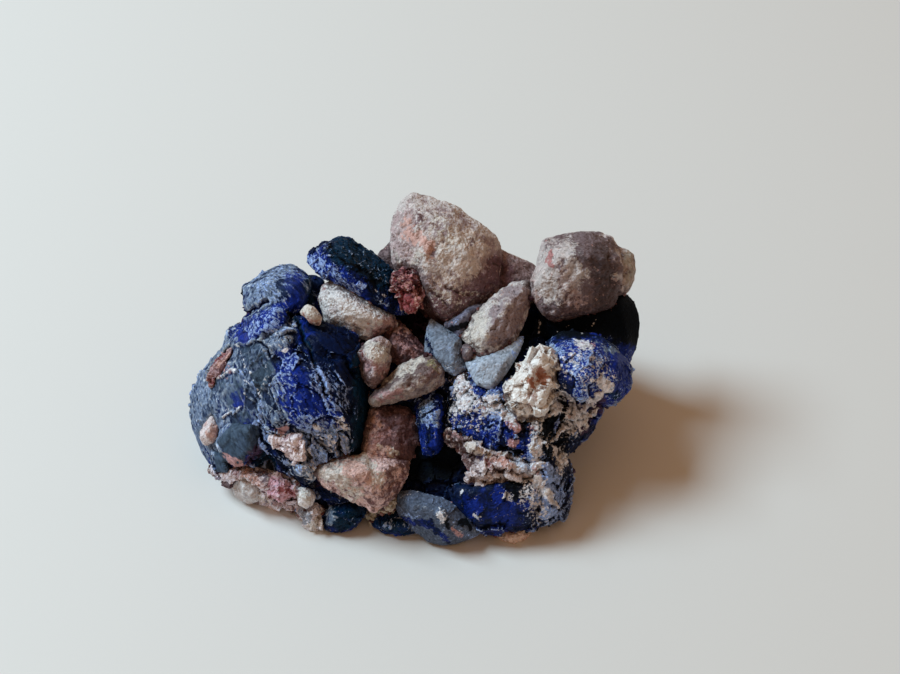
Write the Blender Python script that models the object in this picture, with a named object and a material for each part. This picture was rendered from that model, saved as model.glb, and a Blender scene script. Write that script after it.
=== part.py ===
"""Azurite specimen: blue azurite crystals grown round rounded stones of pale quartz rock.

The whole object stands on the XY plane, +Z up, with its origin under the middle of its box. Most corners
are measured on the show face, the side that the specimen is displayed by: it leans back from upright, and a
corner on it is (across, up, out) in millimetres. Corners of the hidden back and underside are measured as the
object stands, (x, y, z) in millimetres.
"""

import math

import bmesh
import bpy
from mathutils import Euler, Matrix, Vector

MM = 0.001

# Driving dimensions, in millimetres and degrees.
SHOW_LEAN = 45.0  # how far the show face leans back from upright
SHOW_MIDDLE = (0.05, 1.37, 11.0)  # the middle of the show face, as the object stands
FIT_GAP = 0.3  # the open seam left between two pieces
BACK_SHARE = 0.62  # a stone's hidden back is this much of its rim's width

SHOW_FACE = Matrix.Translation(SHOW_MIDDLE) @ Matrix.Rotation(math.radians(SHOW_LEAN), 4, "X")

# Finish: base colour, roughness.
FINISHES = {
    "azurite": ((0.016, 0.028, 0.20), 0.35),
    "azurite_dusty": ((0.16, 0.20, 0.32), 0.6),
    "pale_stone": ((0.50, 0.44, 0.40), 0.8),
    "mauve_stone": ((0.33, 0.26, 0.25), 0.85),
    "pink_stone": ((0.58, 0.36, 0.30), 0.8),
    "quartz": ((0.72, 0.68, 0.62), 0.5),
}


def standing(corners):
    """Corners measured as the object stands, turned to show face measures."""
    back = SHOW_FACE.inverted()
    return [tuple(back @ Vector(corner)) for corner in corners]


def backs_of(rim, depth):
    """The hidden back of a stone: its rim drawn in about its middle, and set this deep behind it."""
    middle = sum((Vector(corner) for corner in rim), Vector()) / len(rim)
    return [
        (
            middle.x + (corner[0] - middle.x) * BACK_SHARE,
            middle.y + (corner[1] - middle.y) * BACK_SHARE,
            corner[2] - depth,
        )
        for corner in rim
    ]


def above_table(corner):
    """The corner, lifted onto the table's plane where it would go below it."""
    stood = SHOW_FACE @ Vector(corner)
    stood.z = max(stood.z, 0.0)
    return tuple(SHOW_FACE.inverted() @ stood)


def lump(rim, face=(), depth=0.0, hidden=()):
    """The corners of one convex lump: the rim that shows as its outline, the corners of its bulging face,
    a back this deep behind the rim, and any hidden corners as the object stands."""
    corners = [*rim, *face, *(backs_of(rim, depth) if depth else []), *standing(hidden)]
    return [above_table(corner) for corner in corners]


def crystal(middle, size, turn):
    """The corners of one blocky crystal, as the object stands: a six sided bar with a wedge at both ends."""
    long, wide, thick = (length / 2 for length in size)
    placed_at = Matrix.Translation(middle) @ Euler([math.radians(angle) for angle in turn]).to_matrix().to_4x4()
    ring = [(0, thick), (wide, thick * 0.4), (wide, -thick * 0.5), (0, -thick), (-wide, -thick * 0.4),
            (-wide, thick * 0.5)]
    corners = [(end * long * 0.75, y, z) for end in (-1, 1) for y, z in ring]
    corners += [(end * long, side * wide * 0.6, end * thick * 0.2) for end in (-1, 1) for side in (-1, 1)]
    return lump(rim=[], hidden=[tuple(placed_at @ Vector(corner)) for corner in corners])


# The pieces, those nearest the eye first. Each later piece is let in round the earlier ones.
PIECES = {
    # A boot of salmon and white stone: a foot that sticks out, on a brown pillar.
    "boot_stone": (
        "pink_stone",
        lump(
            rim=[(-10.8, -11.0, 6.0), (-9.9, -9.7, 5.5), (-7.3, -9.7, 5.5), (-4.8, -9.0, 5.5),
                 (-0.5, -10.0, 4.5), (-0.9, -11.4, 5.0), (-2.0, -13.7, 5.2), (-4.1, -15.2, 6.0),
                 (-6.6, -13.8, 6.2), (-9.3, -12.7, 6.2)],
            face=[(-8.5, -11.0, 8.0), (-5.6, -11.0, 8.8), (-3.0, -10.4, 7.2), (-3.6, -13.0, 7.6)],
            depth=4.5,
        ),
        lump(
            rim=[(-4.7, -3.9, 3.6), (-5.4, -6.0, 3.6), (-5.8, -8.8, 4.2), (-4.0, -11.0, 5.0),
                 (-0.6, -10.0, 4.0), (0.3, -8.0, 3.6), (0.2, -5.8, 3.4), (-0.6, -4.0, 3.2)],
            face=[(-3.6, -5.2, 5.0), (-4.6, -8.2, 5.8), (-2.2, -8.4, 5.6), (-1.6, -5.4, 4.6)],
            depth=4.0,
        ),
    ),
    # A long tan pebble that lies across the middle, and a small one with a flat top above it.
    "long_pebble": (
        "pale_stone",
        lump(
            rim=[(-4.9, -3.3, 4.6), (-4.1, -2.2, 4.6), (-2.8, -1.3, 4.8), (-1.3, 0.7, 4.4), (1.2, 1.6, 4.2),
                 (2.4, 1.2, 4.2), (3.2, 0.0, 4.4), (3.0, -1.3, 4.6), (1.6, -2.4, 4.8), (-1.8, -3.1, 5.0),
                 (-4.3, -3.8, 4.8)],
            face=[(-3.2, -2.7, 6.2), (-0.4, -0.6, 7.0), (2.0, -0.2, 6.8), (0.6, -1.6, 6.8)],
            depth=2.6,
        ),
    ),
    "small_pebble": (
        "pale_stone",
        lump(
            rim=[(-6.3, 1.8, 4.6), (-5.3, 3.0, 4.2), (-3.6, 3.7, 4.0), (-2.8, 2.9, 4.0), (-2.7, 1.2, 4.0),
                 (-3.2, -0.8, 4.4), (-4.3, -1.9, 4.8), (-5.4, -1.3, 4.8), (-5.6, 0.2, 4.8)],
            face=[(-4.6, 2.0, 6.8), (-3.6, 1.6, 6.6), (-4.4, -0.4, 6.6)],
            depth=2.6,
        ),
    ),
    "bead_grain": (
        "quartz",
        lump(
            rim=[(-12.2, 6.3, 5.8), (-11.6, 7.1, 5.6), (-10.9, 6.9, 5.6), (-10.1, 5.8, 5.6),
                 (-10.3, 5.0, 5.8), (-11.2, 5.3, 6.0)],
            face=[(-11.5, 6.3, 7.0), (-10.7, 5.7, 7.0)],
            depth=1.4,
        ),
    ),
    # The pebble that leans on the right of the middle.
    "leaning_pebble": (
        "pale_stone",
        lump(
            rim=[(12.4, 9.9, 1.5), (10.9, 9.6, 1.6), (8.4, 7.9, 2.2), (6.3, 5.8, 2.8), (5.3, 3.7, 3.6),
                 (6.4, 2.1, 4.4), (7.3, 1.5, 4.8), (8.8, 1.8, 4.8), (10.9, 3.2, 3.8), (12.1, 5.5, 2.4),
                 (12.9, 8.6, 1.5)],
            face=[(11.6, 8.6, 3.6), (9.2, 6.2, 5.6), (7.6, 3.8, 6.2), (10.2, 4.8, 5.2)],
            depth=3.6,
        ),
    ),
    # A white quartz crystal group with a rusty pocket.
    "quartz_crystal": (
        "quartz",
        lump(
            rim=[(13.5, 3.1, 7.0), (14.5, 2.6, 6.8), (15.7, 0.8, 6.6), (15.6, -0.8, 6.4), (15.0, -3.0, 6.6),
                 (14.4, -5.0, 6.8), (12.9, -5.7, 7.2), (11.2, -5.0, 7.4), (9.6, -3.2, 7.4),
                 (10.0, -1.4, 7.4), (11.4, 0.7, 7.4), (12.6, 1.9, 7.2)],
            face=[(13.6, 1.6, 8.6), (12.0, -0.8, 9.4), (13.8, -2.2, 9.0), (11.6, -3.6, 9.0),
                  (13.2, -4.4, 8.4)],
            depth=2.4,
        ),
    ),
    "white_pebble": (
        "pale_stone",
        lump(
            rim=[(-10.5, 7.9, 2.4), (-10.1, 9.3, 2.2), (-9.0, 10.0, 2.2), (-7.8, 10.0, 2.2),
                 (-6.6, 8.6, 2.4), (-3.7, 7.1, 2.4), (-2.3, 6.0, 2.2), (-1.9, 5.0, 2.2), (-3.6, 4.1, 2.4),
                 (-5.1, 3.2, 2.8), (-6.9, 4.0, 2.8), (-9.8, 5.4, 2.8)],
            face=[(-8.6, 8.0, 4.6), (-6.0, 6.4, 5.2), (-4.0, 5.4, 4.6), (-7.6, 6.0, 4.8)],
            depth=4.0,
        ),
    ),
    # A blocky stone high on the right, with a thin fin on its far side.
    "knob_stone": (
        "mauve_stone",
        lump(
            rim=[(14.4, 14.3, 0.5), (17.0, 15.0, 0.1), (18.6, 15.5, 0.0), (20.3, 15.4, -0.3),
                 (21.7, 14.8, -0.5), (22.6, 13.7, -0.4)],
            face=[(14.4, 10.8, 4.2), (15.8, 12.4, 5.2), (18.6, 12.6, 5.8), (21.0, 11.9, 5.0),
                  (22.5, 10.8, 2.6), (13.6, 11.7, 1.6), (12.8, 9.8, 2.0), (13.1, 7.6, 2.4),
                  (14.0, 6.3, 2.6), (15.4, 6.2, 3.2), (18.6, 6.7, 2.8), (21.6, 7.6, 1.6)],
            hidden=[(15, 11, 15), (21, 11.5, 14), (22.5, 8, 13), (16, 6, 13.5)],
        ),
        lump(
            rim=[(22.0, 13.9, -1.6), (23.4, 13.6, -1.4), (24.3, 12.8, -1.4), (24.1, 11.5, -1.0),
                 (24.4, 10.2, -1.0), (23.7, 8.7, -0.6), (22.0, 8.2, 0.0)],
            face=[(23.0, 12.6, 0.2), (23.2, 10.0, 0.8)],
            depth=3.0,
        ),
    ),
    # A thick azurite crystal at the back left, with a dusty front face and a clean dark top.
    "azurite_back_blade": (
        "azurite",
        lump(
            rim=[(-11.9, 12.0, 1.8), (-11.5, 13.2, 1.4), (-10.4, 13.9, 1.0), (-8.6, 14.6, 0.6),
                 (-7.5, 14.7, 0.4), (-5.0, 13.2, 0.4), (-2.4, 11.0, 0.6), (-1.4, 8.6, 1.0),
                 (-0.6, 6.2, 2.0), (-2.4, 6.3, 3.2), (-5.8, 8.3, 3.8), (-7.9, 9.8, 4.0),
                 (-10.4, 10.5, 3.2)],
            face=[(-9.6, 13.4, 3.2), (-8.0, 11.9, 5.2), (-6.4, 9.9, 5.4), (-3.2, 7.3, 4.2)],
            depth=4.0,
        ),
    ),
    # Rough red crust in the corner under the peak.
    "pink_crust": (
        "pink_stone",
        lump(
            rim=[(-2.8, 9.6, 3.0), (-2.3, 10.8, 2.8), (-1.2, 11.4, 2.8), (0.4, 10.9, 3.0), (1.2, 9.2, 3.2),
                 (0.8, 7.0, 3.2), (0.2, 6.0, 3.2), (-0.9, 6.4, 3.2), (-2.0, 8.0, 3.0)],
            face=[(-1.2, 10.2, 4.8), (0.0, 8.6, 5.0), (-0.2, 7.2, 4.8)],
            depth=3.0,
        ),
    ),
    # The peak: the largest stone, a leaning slab with a long right shoulder.
    "peak_stone": (
        "pale_stone",
        lump(
            rim=[(-2.6, 15.1, 1.0), (-2.3, 17.1, 1.0), (-1.7, 18.6, 1.0), (-0.3, 19.6, 0.8),
                 (1.6, 19.2, 0.8), (4.3, 18.3, 0.6), (5.2, 17.2, 0.6), (7.4, 16.0, 0.2), (8.8, 15.0, -0.4)],
            face=[(-2.2, 11.0, 1.8), (-1.5, 15.0, 3.0), (0.2, 17.6, 3.0), (3.4, 16.2, 3.6),
                  (5.6, 13.0, 3.6), (1.0, 12.2, 4.4), (1.6, 8.4, 4.0), (3.4, 5.9, 3.4), (7.0, 8.2, 2.2),
                  (9.4, 10.5, 0.6), (9.6, 13.2, -0.8)],
            hidden=[(-1, 13.5, 15), (6, 15, 17), (9.5, 13.5, 14), (1, 13.5, 8), (7, 14.2, 7.5), (3, 9, 6),
                    (9, 9, 8)],
        ),
        lump(
            rim=[(8.8, 13.6, -1.2), (10.2, 12.3, -1.6), (12.0, 11.6, -2.0), (14.0, 11.3, -2.2),
                 (13.6, 9.0, -0.8), (9.0, 7.6, 0.4), (7.0, 8.0, 0.6)],
            hidden=[(8, 14.4, 12), (13.5, 13.6, 12), (13, 10, 9), (8, 9, 9), (13, 13, 8), (8, 14, 7.5)],
        ),
    ),
    "back_chip": (
        "mauve_stone",
        lump(
            rim=[(-4.2, 12.5, -1.2), (-3.6, 13.2, -1.4), (-3.0, 13.7, -1.6), (-2.6, 14.5, -1.8),
                 (-1.4, 14.0, -2.2), (-1.0, 10.0, -1.6), (-3.4, 9.8, -1.6)],
            face=[(-3.0, 12.8, -0.4)],
            depth=3.6,
        ),
    ),
    # A brown wedge that the white pebble leans on.
    "brown_wedge": (
        "mauve_stone",
        lump(
            rim=[(-3.4, 5.0, 1.6), (-1.8, 5.6, 1.2), (-0.8, 4.0, 1.4), (1.4, 1.9, 2.0), (1.0, 0.6, 2.6),
                 (-1.2, 0.2, 2.8), (-3.2, 1.4, 2.8)],
            face=[(-2.2, 3.4, 3.4), (-0.8, 2.2, 3.6)],
            depth=4.0,
        ),
    ),
    # The small azurite blades and plates of the middle.
    "azurite_centre_blade": (
        "azurite",
        lump(
            rim=[(0.3, -4.4, 4.2), (0.7, -3.7, 4.2), (2.6, -2.5, 4.4), (3.4, -3.2, 4.4), (3.0, -5.0, 4.6),
                 (2.9, -8.2, 4.6), (2.0, -9.4, 4.6), (1.1, -9.3, 4.4), (0.6, -7.0, 4.2)],
            face=[(0.9, -4.6, 5.6), (2.4, -3.4, 6.0), (2.4, -8.0, 6.4), (1.2, -8.4, 5.8)],
            depth=2.4,
        ),
    ),
    "azurite_tip_plate": (
        "azurite_dusty",
        lump(
            rim=[(5.6, 0.8, 5.0), (6.6, 1.5, 4.6), (9.4, 2.2, 4.4), (11.9, 3.7, 3.6), (11.4, 2.2, 4.4),
                 (9.8, -0.4, 5.6), (8.4, -2.0, 6.4), (6.8, -1.4, 6.4)],
            face=[(7.0, 0.6, 6.4), (9.6, 0.9, 6.0), (8.4, -1.4, 6.9)],
            depth=1.8,
        ),
    ),
    "azurite_upper_plate": (
        "azurite_dusty",
        lump(
            rim=[(1.2, 2.0, 3.0), (1.3, 3.8, 2.8), (1.8, 5.5, 2.4), (3.0, 4.4, 2.8), (4.9, 3.6, 3.2),
                 (5.3, 1.6, 3.8), (5.5, 0.2, 4.4), (4.4, -0.4, 4.8), (2.7, 0.5, 4.2)],
            face=[(2.2, 3.2, 4.2), (4.2, 2.8, 4.6), (4.2, 0.8, 5.4), (2.6, 1.6, 4.8)],
            depth=2.6,
        ),
    ),
    "azurite_violet_plate": (
        "azurite_dusty",
        lump(
            rim=[(3.3, 4.9, 2.8), (4.0, 5.9, 2.6), (6.2, 7.2, 1.8), (7.6, 7.3, 1.4), (6.3, 5.6, 2.6),
                 (5.2, 3.6, 3.4)],
            face=[(4.6, 5.2, 4.0), (5.8, 6.3, 3.2)],
            depth=2.8,
        ),
    ),
    "mauve_lens": (
        "mauve_stone",
        lump(
            rim=[(5.2, 2.8, 4.4), (6.0, 2.9, 4.4), (6.4, 2.2, 4.8), (6.2, 1.3, 5.0), (5.8, 0.9, 5.0),
                 (5.4, 1.6, 4.8)],
            face=[(5.8, 2.0, 5.8)],
            depth=1.0,
        ),
    ),
    # Crumbly pink and tan rock: an arch over the hollow, and the ledge below it.
    "crumbly_matrix": (
        "pink_stone",
        lump(
            rim=[(5.3, -9.0, 6.2), (7.6, -8.3, 6.4), (10.4, -9.0, 6.8), (12.5, -9.8, 6.8),
                 (12.8, -11.2, 6.6), (10.6, -12.0, 6.6), (7.0, -12.5, 6.2), (5.5, -11.8, 6.0)],
            face=[(7.0, -10.2, 8.0), (10.0, -10.2, 8.6), (11.8, -10.6, 8.2)],
            depth=1.6,
        ),
        lump(
            rim=[(3.1, -6.9, 5.4), (3.9, -6.4, 5.6), (6.3, -7.5, 6.4), (8.6, -9.0, 6.8), (7.4, -9.8, 6.4),
                 (4.8, -8.2, 5.6), (3.2, -7.9, 5.2)],
            face=[(4.2, -7.1, 6.8), (6.4, -8.3, 7.8)],
            depth=1.4,
        ),
    ),
    # The smooth slate coloured plate along the front foot, and the lumps beside it.
    "azurite_slate_plate": (
        "azurite_dusty",
        lump(
            rim=[(-1.7, -13.3, 4.6), (-0.4, -13.1, 4.8), (3.0, -13.9, 5.2), (4.4, -14.8, 5.4),
                 (6.0, -16.6, 5.2), (7.2, -17.6, 4.4), (5.0, -18.7, 3.9), (3.2, -19.0, 3.9),
                 (1.6, -18.6, 3.9), (0.3, -17.6, 3.8), (-1.4, -16.2, 3.8), (-1.9, -14.8, 4.2)],
            face=[(0.0, -14.4, 6.6), (3.2, -15.4, 7.2), (5.0, -16.8, 6.4), (3.2, -17.8, 6.0),
                  (0.4, -16.0, 6.0)],
            depth=2.6,
        ),
    ),
    "stub_stone": (
        "pink_stone",
        lump(
            rim=[(8.8, -17.9, 2.9), (10.0, -17.3, 3.0), (13.4, -16.9, 2.4), (12.7, -17.8, 2.6),
                 (11.9, -18.6, 3.1), (10.9, -18.9, 3.4), (9.8, -18.6, 3.2)],
            face=[(11.0, -18.2, 3.9)],
            hidden=[(9.5, -12.2, 0), (12.5, -11.8, 0), (12.0, -13.2, 0), (10.0, -13.4, 0), (11, -11.5, 2)],
        ),
    ),
    "azurite_foot_lump": (
        "azurite",
        lump(
            rim=[(-10.0, -16.0, 2.6), (-9.3, -15.1, 3.0), (-7.0, -14.5, 3.4), (-5.4, -14.4, 3.4),
                 (-5.5, -15.6, 3.2), (-6.2, -16.7, 2.8), (-7.4, -17.5, 2.6), (-8.8, -17.8, 2.6),
                 (-9.8, -17.4, 2.6)],
            face=[(-8.6, -16.0, 4.6), (-6.8, -15.6, 4.6), (-8.4, -17.0, 3.8)],
            depth=2.2,
        ),
    ),
    "azurite_front_lump": (
        "azurite",
        lump(
            rim=[(-4.6, -16.9, 2.6), (-3.9, -16.0, 3.0), (-1.8, -15.6, 3.2), (0.4, -16.4, 3.2),
                 (0.8, -17.6, 2.8), (-0.6, -17.9, 2.8), (-2.0, -18.1, 2.8), (-3.2, -17.8, 2.6)],
            face=[(-3.0, -16.8, 4.4), (-1.0, -16.8, 4.6)],
            depth=2.2,
        ),
    ),
    "tan_cement": (
        "pale_stone",
        lump(
            rim=[(-5.4, -14.4, 2.6), (-5.2, -16.2, 2.2), (-4.8, -17.3, 2.0), (-3.8, -16.2, 2.6),
                 (-1.7, -15.2, 3.2), (-1.6, -13.8, 3.4), (-3.2, -13.0, 3.2)],
            face=[(-4.4, -15.4, 3.8), (-2.6, -14.6, 4.8)],
            depth=3.0,
        ),
    ),
    # The foot of the left side: a white grain, the pale foot, and the navy lump under the boot.
    "white_grain": (
        "quartz",
        lump(
            rim=[(-12.9, -13.7, 4.0), (-12.5, -12.8, 4.0), (-11.4, -12.8, 4.0), (-10.7, -13.5, 4.0),
                 (-11.0, -14.6, 4.0), (-11.8, -15.0, 4.0), (-12.6, -14.7, 4.0)],
            face=[(-12.1, -13.8, 5.6), (-11.4, -14.0, 5.4)],
            depth=1.6,
        ),
    ),
    "foot_matrix": (
        "pale_stone",
        lump(
            rim=[(-12.9, -15.2, 2.4), (-12.5, -16.5, 2.2), (-11.9, -17.5, 2.2), (-10.6, -17.8, 2.4),
                 (-9.7, -17.3, 2.4), (-9.9, -15.6, 2.6), (-10.8, -14.4, 2.8), (-12.2, -14.2, 2.8)],
            face=[(-11.4, -15.6, 4.2), (-11.0, -16.8, 3.8)],
            depth=2.4,
        ),
    ),
    "azurite_under_boot": (
        "azurite",
        lump(
            rim=[(-11.2, -11.0, 3.4), (-10.6, -12.8, 3.6), (-9.8, -14.1, 3.8), (-7.6, -14.3, 4.0),
                 (-6.0, -13.8, 3.8), (-6.0, -11.5, 3.0)],
            face=[(-9.0, -12.8, 5.2), (-7.4, -13.2, 5.0)],
            depth=4.0,
        ),
    ),
    # The low left corner: a clear grey pebble and red crystals set in pink rock.
    "grey_pebble": (
        "quartz",
        lump(
            rim=[(-20.2, -12.6, 0.4), (-19.4, -11.8, 1.6), (-17.8, -12.0, 2.6), (-16.9, -13.0, 2.4),
                 (-17.2, -14.3, 1.2), (-18.4, -14.9, 0.2), (-19.5, -14.5, -0.2), (-20.3, -13.6, -0.2)],
            face=[(-18.8, -13.0, 3.0), (-17.8, -13.6, 2.8)],
            depth=2.0,
        ),
    ),
    "rose_crystals": (
        "pink_stone",
        lump(
            rim=[(-16.0, -12.4, 3.6), (-15.2, -11.7, 4.4), (-13.6, -11.6, 4.8), (-12.9, -12.6, 4.6),
                 (-13.0, -14.0, 3.6), (-14.6, -14.4, 2.8), (-15.8, -13.8, 2.8)],
            face=[(-14.8, -12.6, 5.6), (-14.0, -13.4, 5.0)],
            depth=2.0,
        ),
    ),
    "corner_matrix": (
        "pink_stone",
        lump(
            rim=[(-23.0, -11.2, -0.4), (-22.0, -12.4, -0.4), (-21.2, -12.9, -0.4), (-20.2, -13.2, -0.4),
                 (-18.0, -14.4, 0.0), (-16.2, -14.5, 0.4), (-14.2, -15.2, 1.2), (-13.0, -15.0, 1.8)],
            face=[(-21.0, -11.4, 2.2), (-18.2, -11.4, 3.8), (-15.0, -12.0, 4.0), (-13.0, -12.2, 4.4),
                  (-12.6, -14.2, 3.4)],
            hidden=[(-18.5, -8.6, 0), (-14, -9.4, 0), (-12, -6, 0), (-16, -3, 0), (-20, -5, 0),
                    (-20, -2, 3), (-13, -3, 4)],
        ),
    ),
    # Bits of matrix caught in the face of the left azurite.
    "rose_streak": (
        "pink_stone",
        lump(
            rim=[(-22.9, -1.4, 1.3), (-22.6, 0.2, 1.1), (-21.5, 1.5, 1.3), (-20.4, 2.5, 1.6),
                 (-20.0, 2.0, 2.3), (-20.6, 0.8, 2.7), (-21.8, -0.9, 2.6), (-22.4, -1.7, 2.1)],
            face=[(-21.6, 0.3, 3.0), (-20.8, 1.2, 2.9)],
            depth=1.4,
        ),
    ),
    "edge_nub": (
        "pale_stone",
        lump(
            rim=[(-23.7, -7.4, 1.2), (-23.1, -6.0, 1.8), (-22.2, -5.0, 2.4), (-21.6, -6.6, 3.2),
                 (-22.0, -7.6, 2.8), (-23.0, -8.2, 1.6)],
            face=[(-22.8, -7.2, 3.4), (-22.3, -6.2, 3.6)],
            depth=1.6,
        ),
    ),
    "beige_inclusion": (
        "pale_stone",
        lump(
            rim=[(-15.6, -7.2, 6.6), (-14.0, -6.9, 7.4), (-12.0, -6.9, 8.0), (-11.6, -7.9, 7.8),
                 (-12.2, -10.0, 7.0), (-13.2, -9.9, 6.6), (-14.6, -8.2, 6.6)],
            face=[(-13.6, -7.6, 8.6), (-12.4, -8.4, 8.6)],
            depth=1.6,
        ),
    ),
    # The big azurite group of the left: crystals grown together into a broad shield, with a knob on its
    # shoulder. Each lump after the first is one crystal that stands out of it.
    "azurite_left_mass": (
        "azurite",
        lump(
            rim=[(-18.9, 5.0, 0.8), (-19.5, 4.0, 0.2), (-21.0, 2.7, 0.0), (-22.7, 1.1, -0.3),
                 (-24.0, -0.6, -0.5), (-24.8, -3.0, -0.8), (-25.2, -4.8, -1.0), (-24.8, -6.6, -1.0),
                 (-23.9, -9.0, -1.0), (-22.8, -11.2, -0.8)],
            face=[(-16.5, 5.5, 3.8), (-12.5, 5.5, 4.4), (-9.0, 4.4, 4.4), (-6.6, 3.6, 4.0),
                  (-5.6, 2.2, 3.6), (-17.0, 1.5, 6.0), (-12.5, 0.8, 7.4), (-8.0, 0.0, 7.0),
                  (-6.9, -2.5, 7.0), (-6.6, -8.0, 6.4), (-17.5, -5.5, 6.0), (-12.5, -5.0, 7.8),
                  (-22.0, -4.0, 2.6), (-21.5, -7.3, 3.0), (-20.0, -10.6, 2.4), (-17.0, -9.0, 5.0),
                  (-13.0, -10.0, 6.0), (-9.2, -9.8, 6.2), (-5.2, -2.0, 3.0), (-5.6, -8.5, 3.0),
                  (-11.0, -11.5, 4.0)],
            hidden=[(-21, 4, 4), (-22, 0, 3.5), (-18, 9, 7), (-12, 11, 6), (-8, 10, 6), (-8, -4, 2.5),
                    (-14, -6, 3), (-19, -5, 3), (-7, 3, 2.5)],
        ),
        # the knob
        lump(
            rim=[(-18.9, 9.2, 0.8), (-18.7, 6.9, 1.6), (-17.0, 10.6, 0.2), (-15.5, 11.4, 0.0),
                 (-13.8, 11.7, 0.0), (-12.5, 11.0, 0.4), (-11.6, 10.2, 1.0)],
            face=[(-18.2, 7.6, 2.6), (-15.8, 9.6, 3.8), (-13.2, 9.2, 4.4), (-12.2, 7.6, 4.4),
                  (-17.2, 6.6, 3.8), (-14.4, 6.6, 5.0)],
            hidden=[(-17.5, 9.5, 9), (-13, 10.5, 9), (-12, 5, 8)],
        ),
        # the dark crystal in the gap beside the knob
        lump(
            rim=[(-12.6, 10.3, -0.5), (-11.5, 10.5, -0.6), (-10.2, 10.2, -0.4), (-9.6, 5.5, 1.5),
                 (-12.4, 5.5, 2.0)],
            depth=4.0,
        ),
        # the block under the knob, and the pale one below it
        lump(
            rim=[(-19.2, 4.0, 1.2), (-18.9, 5.8, 1.2), (-17.4, 7.2, 2.2), (-14.4, 7.8, 3.6),
                 (-13.4, 6.6, 4.8), (-13.9, 5.0, 5.8), (-16.6, 3.4, 5.6), (-18.2, 2.6, 4.0)],
            face=[(-17.6, 5.6, 4.2), (-15.0, 6.4, 6.0), (-16.4, 4.4, 6.0)],
            depth=3.0,
        ),
        lump(
            rim=[(-17.6, 1.8, 5.2), (-16.8, 3.4, 5.0), (-13.6, 5.2, 5.4), (-12.4, 3.4, 6.4),
                 (-13.4, 1.2, 7.2), (-15.8, 0.6, 6.8)],
            face=[(-15.8, 2.4, 7.0), (-13.8, 3.6, 7.2)],
            depth=3.0,
        ),
        # the ribbed block that stands out most
        lump(
            rim=[(-15.8, 1.0, 6.6), (-12.0, 1.6, 7.4), (-7.4, 1.2, 7.2), (-6.2, -1.2, 6.6),
                 (-6.4, -5.0, 6.6), (-7.0, -8.8, 6.4), (-9.2, -7.6, 7.2), (-12.2, -6.4, 7.8),
                 (-15.6, -6.6, 7.0), (-16.4, -3.0, 6.8)],
            face=[(-14.6, -0.4, 8.6), (-10.6, -0.6, 9.4), (-8.0, -1.6, 8.8), (-12.6, -4.6, 9.6),
                  (-8.6, -5.6, 8.8), (-14.8, -5.2, 8.4)],
            depth=3.0,
        ),
        # the navy block beside the valley
        lump(
            rim=[(-13.2, 6.0, 4.4), (-10.2, 5.3, 4.4), (-8.2, 4.8, 4.2), (-6.6, 4.0, 4.0), (-5.7, 2.8, 3.8),
                 (-5.6, 1.0, 4.6), (-6.6, 0.6, 6.6), (-11.6, 1.8, 7.6), (-12.8, 3.2, 6.6)],
            face=[(-9.8, 3.6, 6.4), (-7.4, 2.4, 6.2)],
            depth=3.0,
        ),
        # two slate coloured crystals with flat faces, and the pale nodule over the boot
        lump(
            rim=[(-22.0, -8.0, 2.6), (-21.2, -6.6, 3.4), (-20.1, -5.9, 4.4), (-17.3, -5.8, 5.8),
                 (-17.1, -7.6, 5.8), (-17.5, -8.8, 5.4), (-18.9, -9.6, 4.2), (-19.4, -10.7, 3.4),
                 (-20.9, -9.7, 2.8)],
            face=[(-21.4, -8.0, 4.0), (-20.1, -6.5, 5.0), (-17.8, -6.4, 6.8), (-17.7, -8.2, 6.4),
                  (-19.4, -9.9, 4.8), (-20.6, -9.2, 4.2)],
            depth=3.0,
        ),
        lump(
            rim=[(-22.5, -8.7, 0.8), (-21.0, -9.3, 2.2), (-20.2, -11.6, 2.0), (-21.9, -11.7, 0.4)],
            face=[(-22.1, -9.2, 2.2), (-21.0, -9.7, 3.0), (-20.5, -11.3, 2.8), (-21.7, -11.3, 1.8)],
            depth=2.0,
        ),
        lump(
            rim=[(-13.2, -9.6, 6.0), (-12.0, -9.0, 6.6), (-10.4, -9.8, 6.4), (-10.4, -11.4, 5.4),
                 (-11.6, -12.2, 4.6), (-13.0, -11.6, 4.8)],
            face=[(-12.0, -10.4, 7.6), (-11.2, -11.0, 7.0)],
            depth=3.0,
        ),
        # the crystals of its hidden back
        crystal((-19.0, 6.0, 7.0), (9.0, 6.0, 5.0), (20, -50, 70)),
        crystal((-14.5, 9.0, 5.0), (9.5, 6.5, 5.0), (-15, 25, 20)),
        crystal((-20.5, 2.5, 4.0), (8.0, 5.5, 4.0), (0, -30, 100)),
        # the dark foot behind the small lumps
        lump(
            rim=[],
            hidden=[(-13, -10.8, 0.6), (-5.5, -11.2, 0.6), (-13, -9.6, 5.5), (-6, -9.6, 6), (-13, -3, 1),
                    (-5, -3, 1), (-12, -3, 8), (-6, -3, 8)],
        ),
    ),
    # The big azurite group of the right, which carries the stones and stands on its flat foot.
    "azurite_right_mass": (
        "azurite",
        # the core that the stones are set in
        lump(
            rim=[(-6.5, 6.5, -2.0), (0.0, 8.0, -3.0), (8.0, 7.0, -2.0), (14.0, 6.5, -1.5),
                 (-6.0, -1.0, 1.0), (-5.0, -8.0, 2.5), (4.0, -2.0, 4.0), (14.0, -2.0, 4.0),
                 (16.0, -9.0, 1.0), (0.0, -12.5, 3.2), (10.0, -12.0, 4.0)],
            hidden=[(-7, -8.1, 0), (0, -11.6, 0), (8, -12.6, 0), (14, -11, 0), (16, -5, 0), (15, 4, 0),
                    (10, 10, 0), (0, 12, 0), (-7, 9, 0), (-9, 1, 0), (-5, 13.6, 8), (0, 15, 6),
                    (7, 15.4, 5.5), (13, 14.4, 6), (14, 13.5, 9.5), (19, 9, 7), (19, 4, 5), (-8, 6, 7)],
        ),
        # the crystals of its hidden back
        crystal((-2.5, 12.2, 4.0), (9.0, 5.0, 4.0), (25, 20, -10)),
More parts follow.
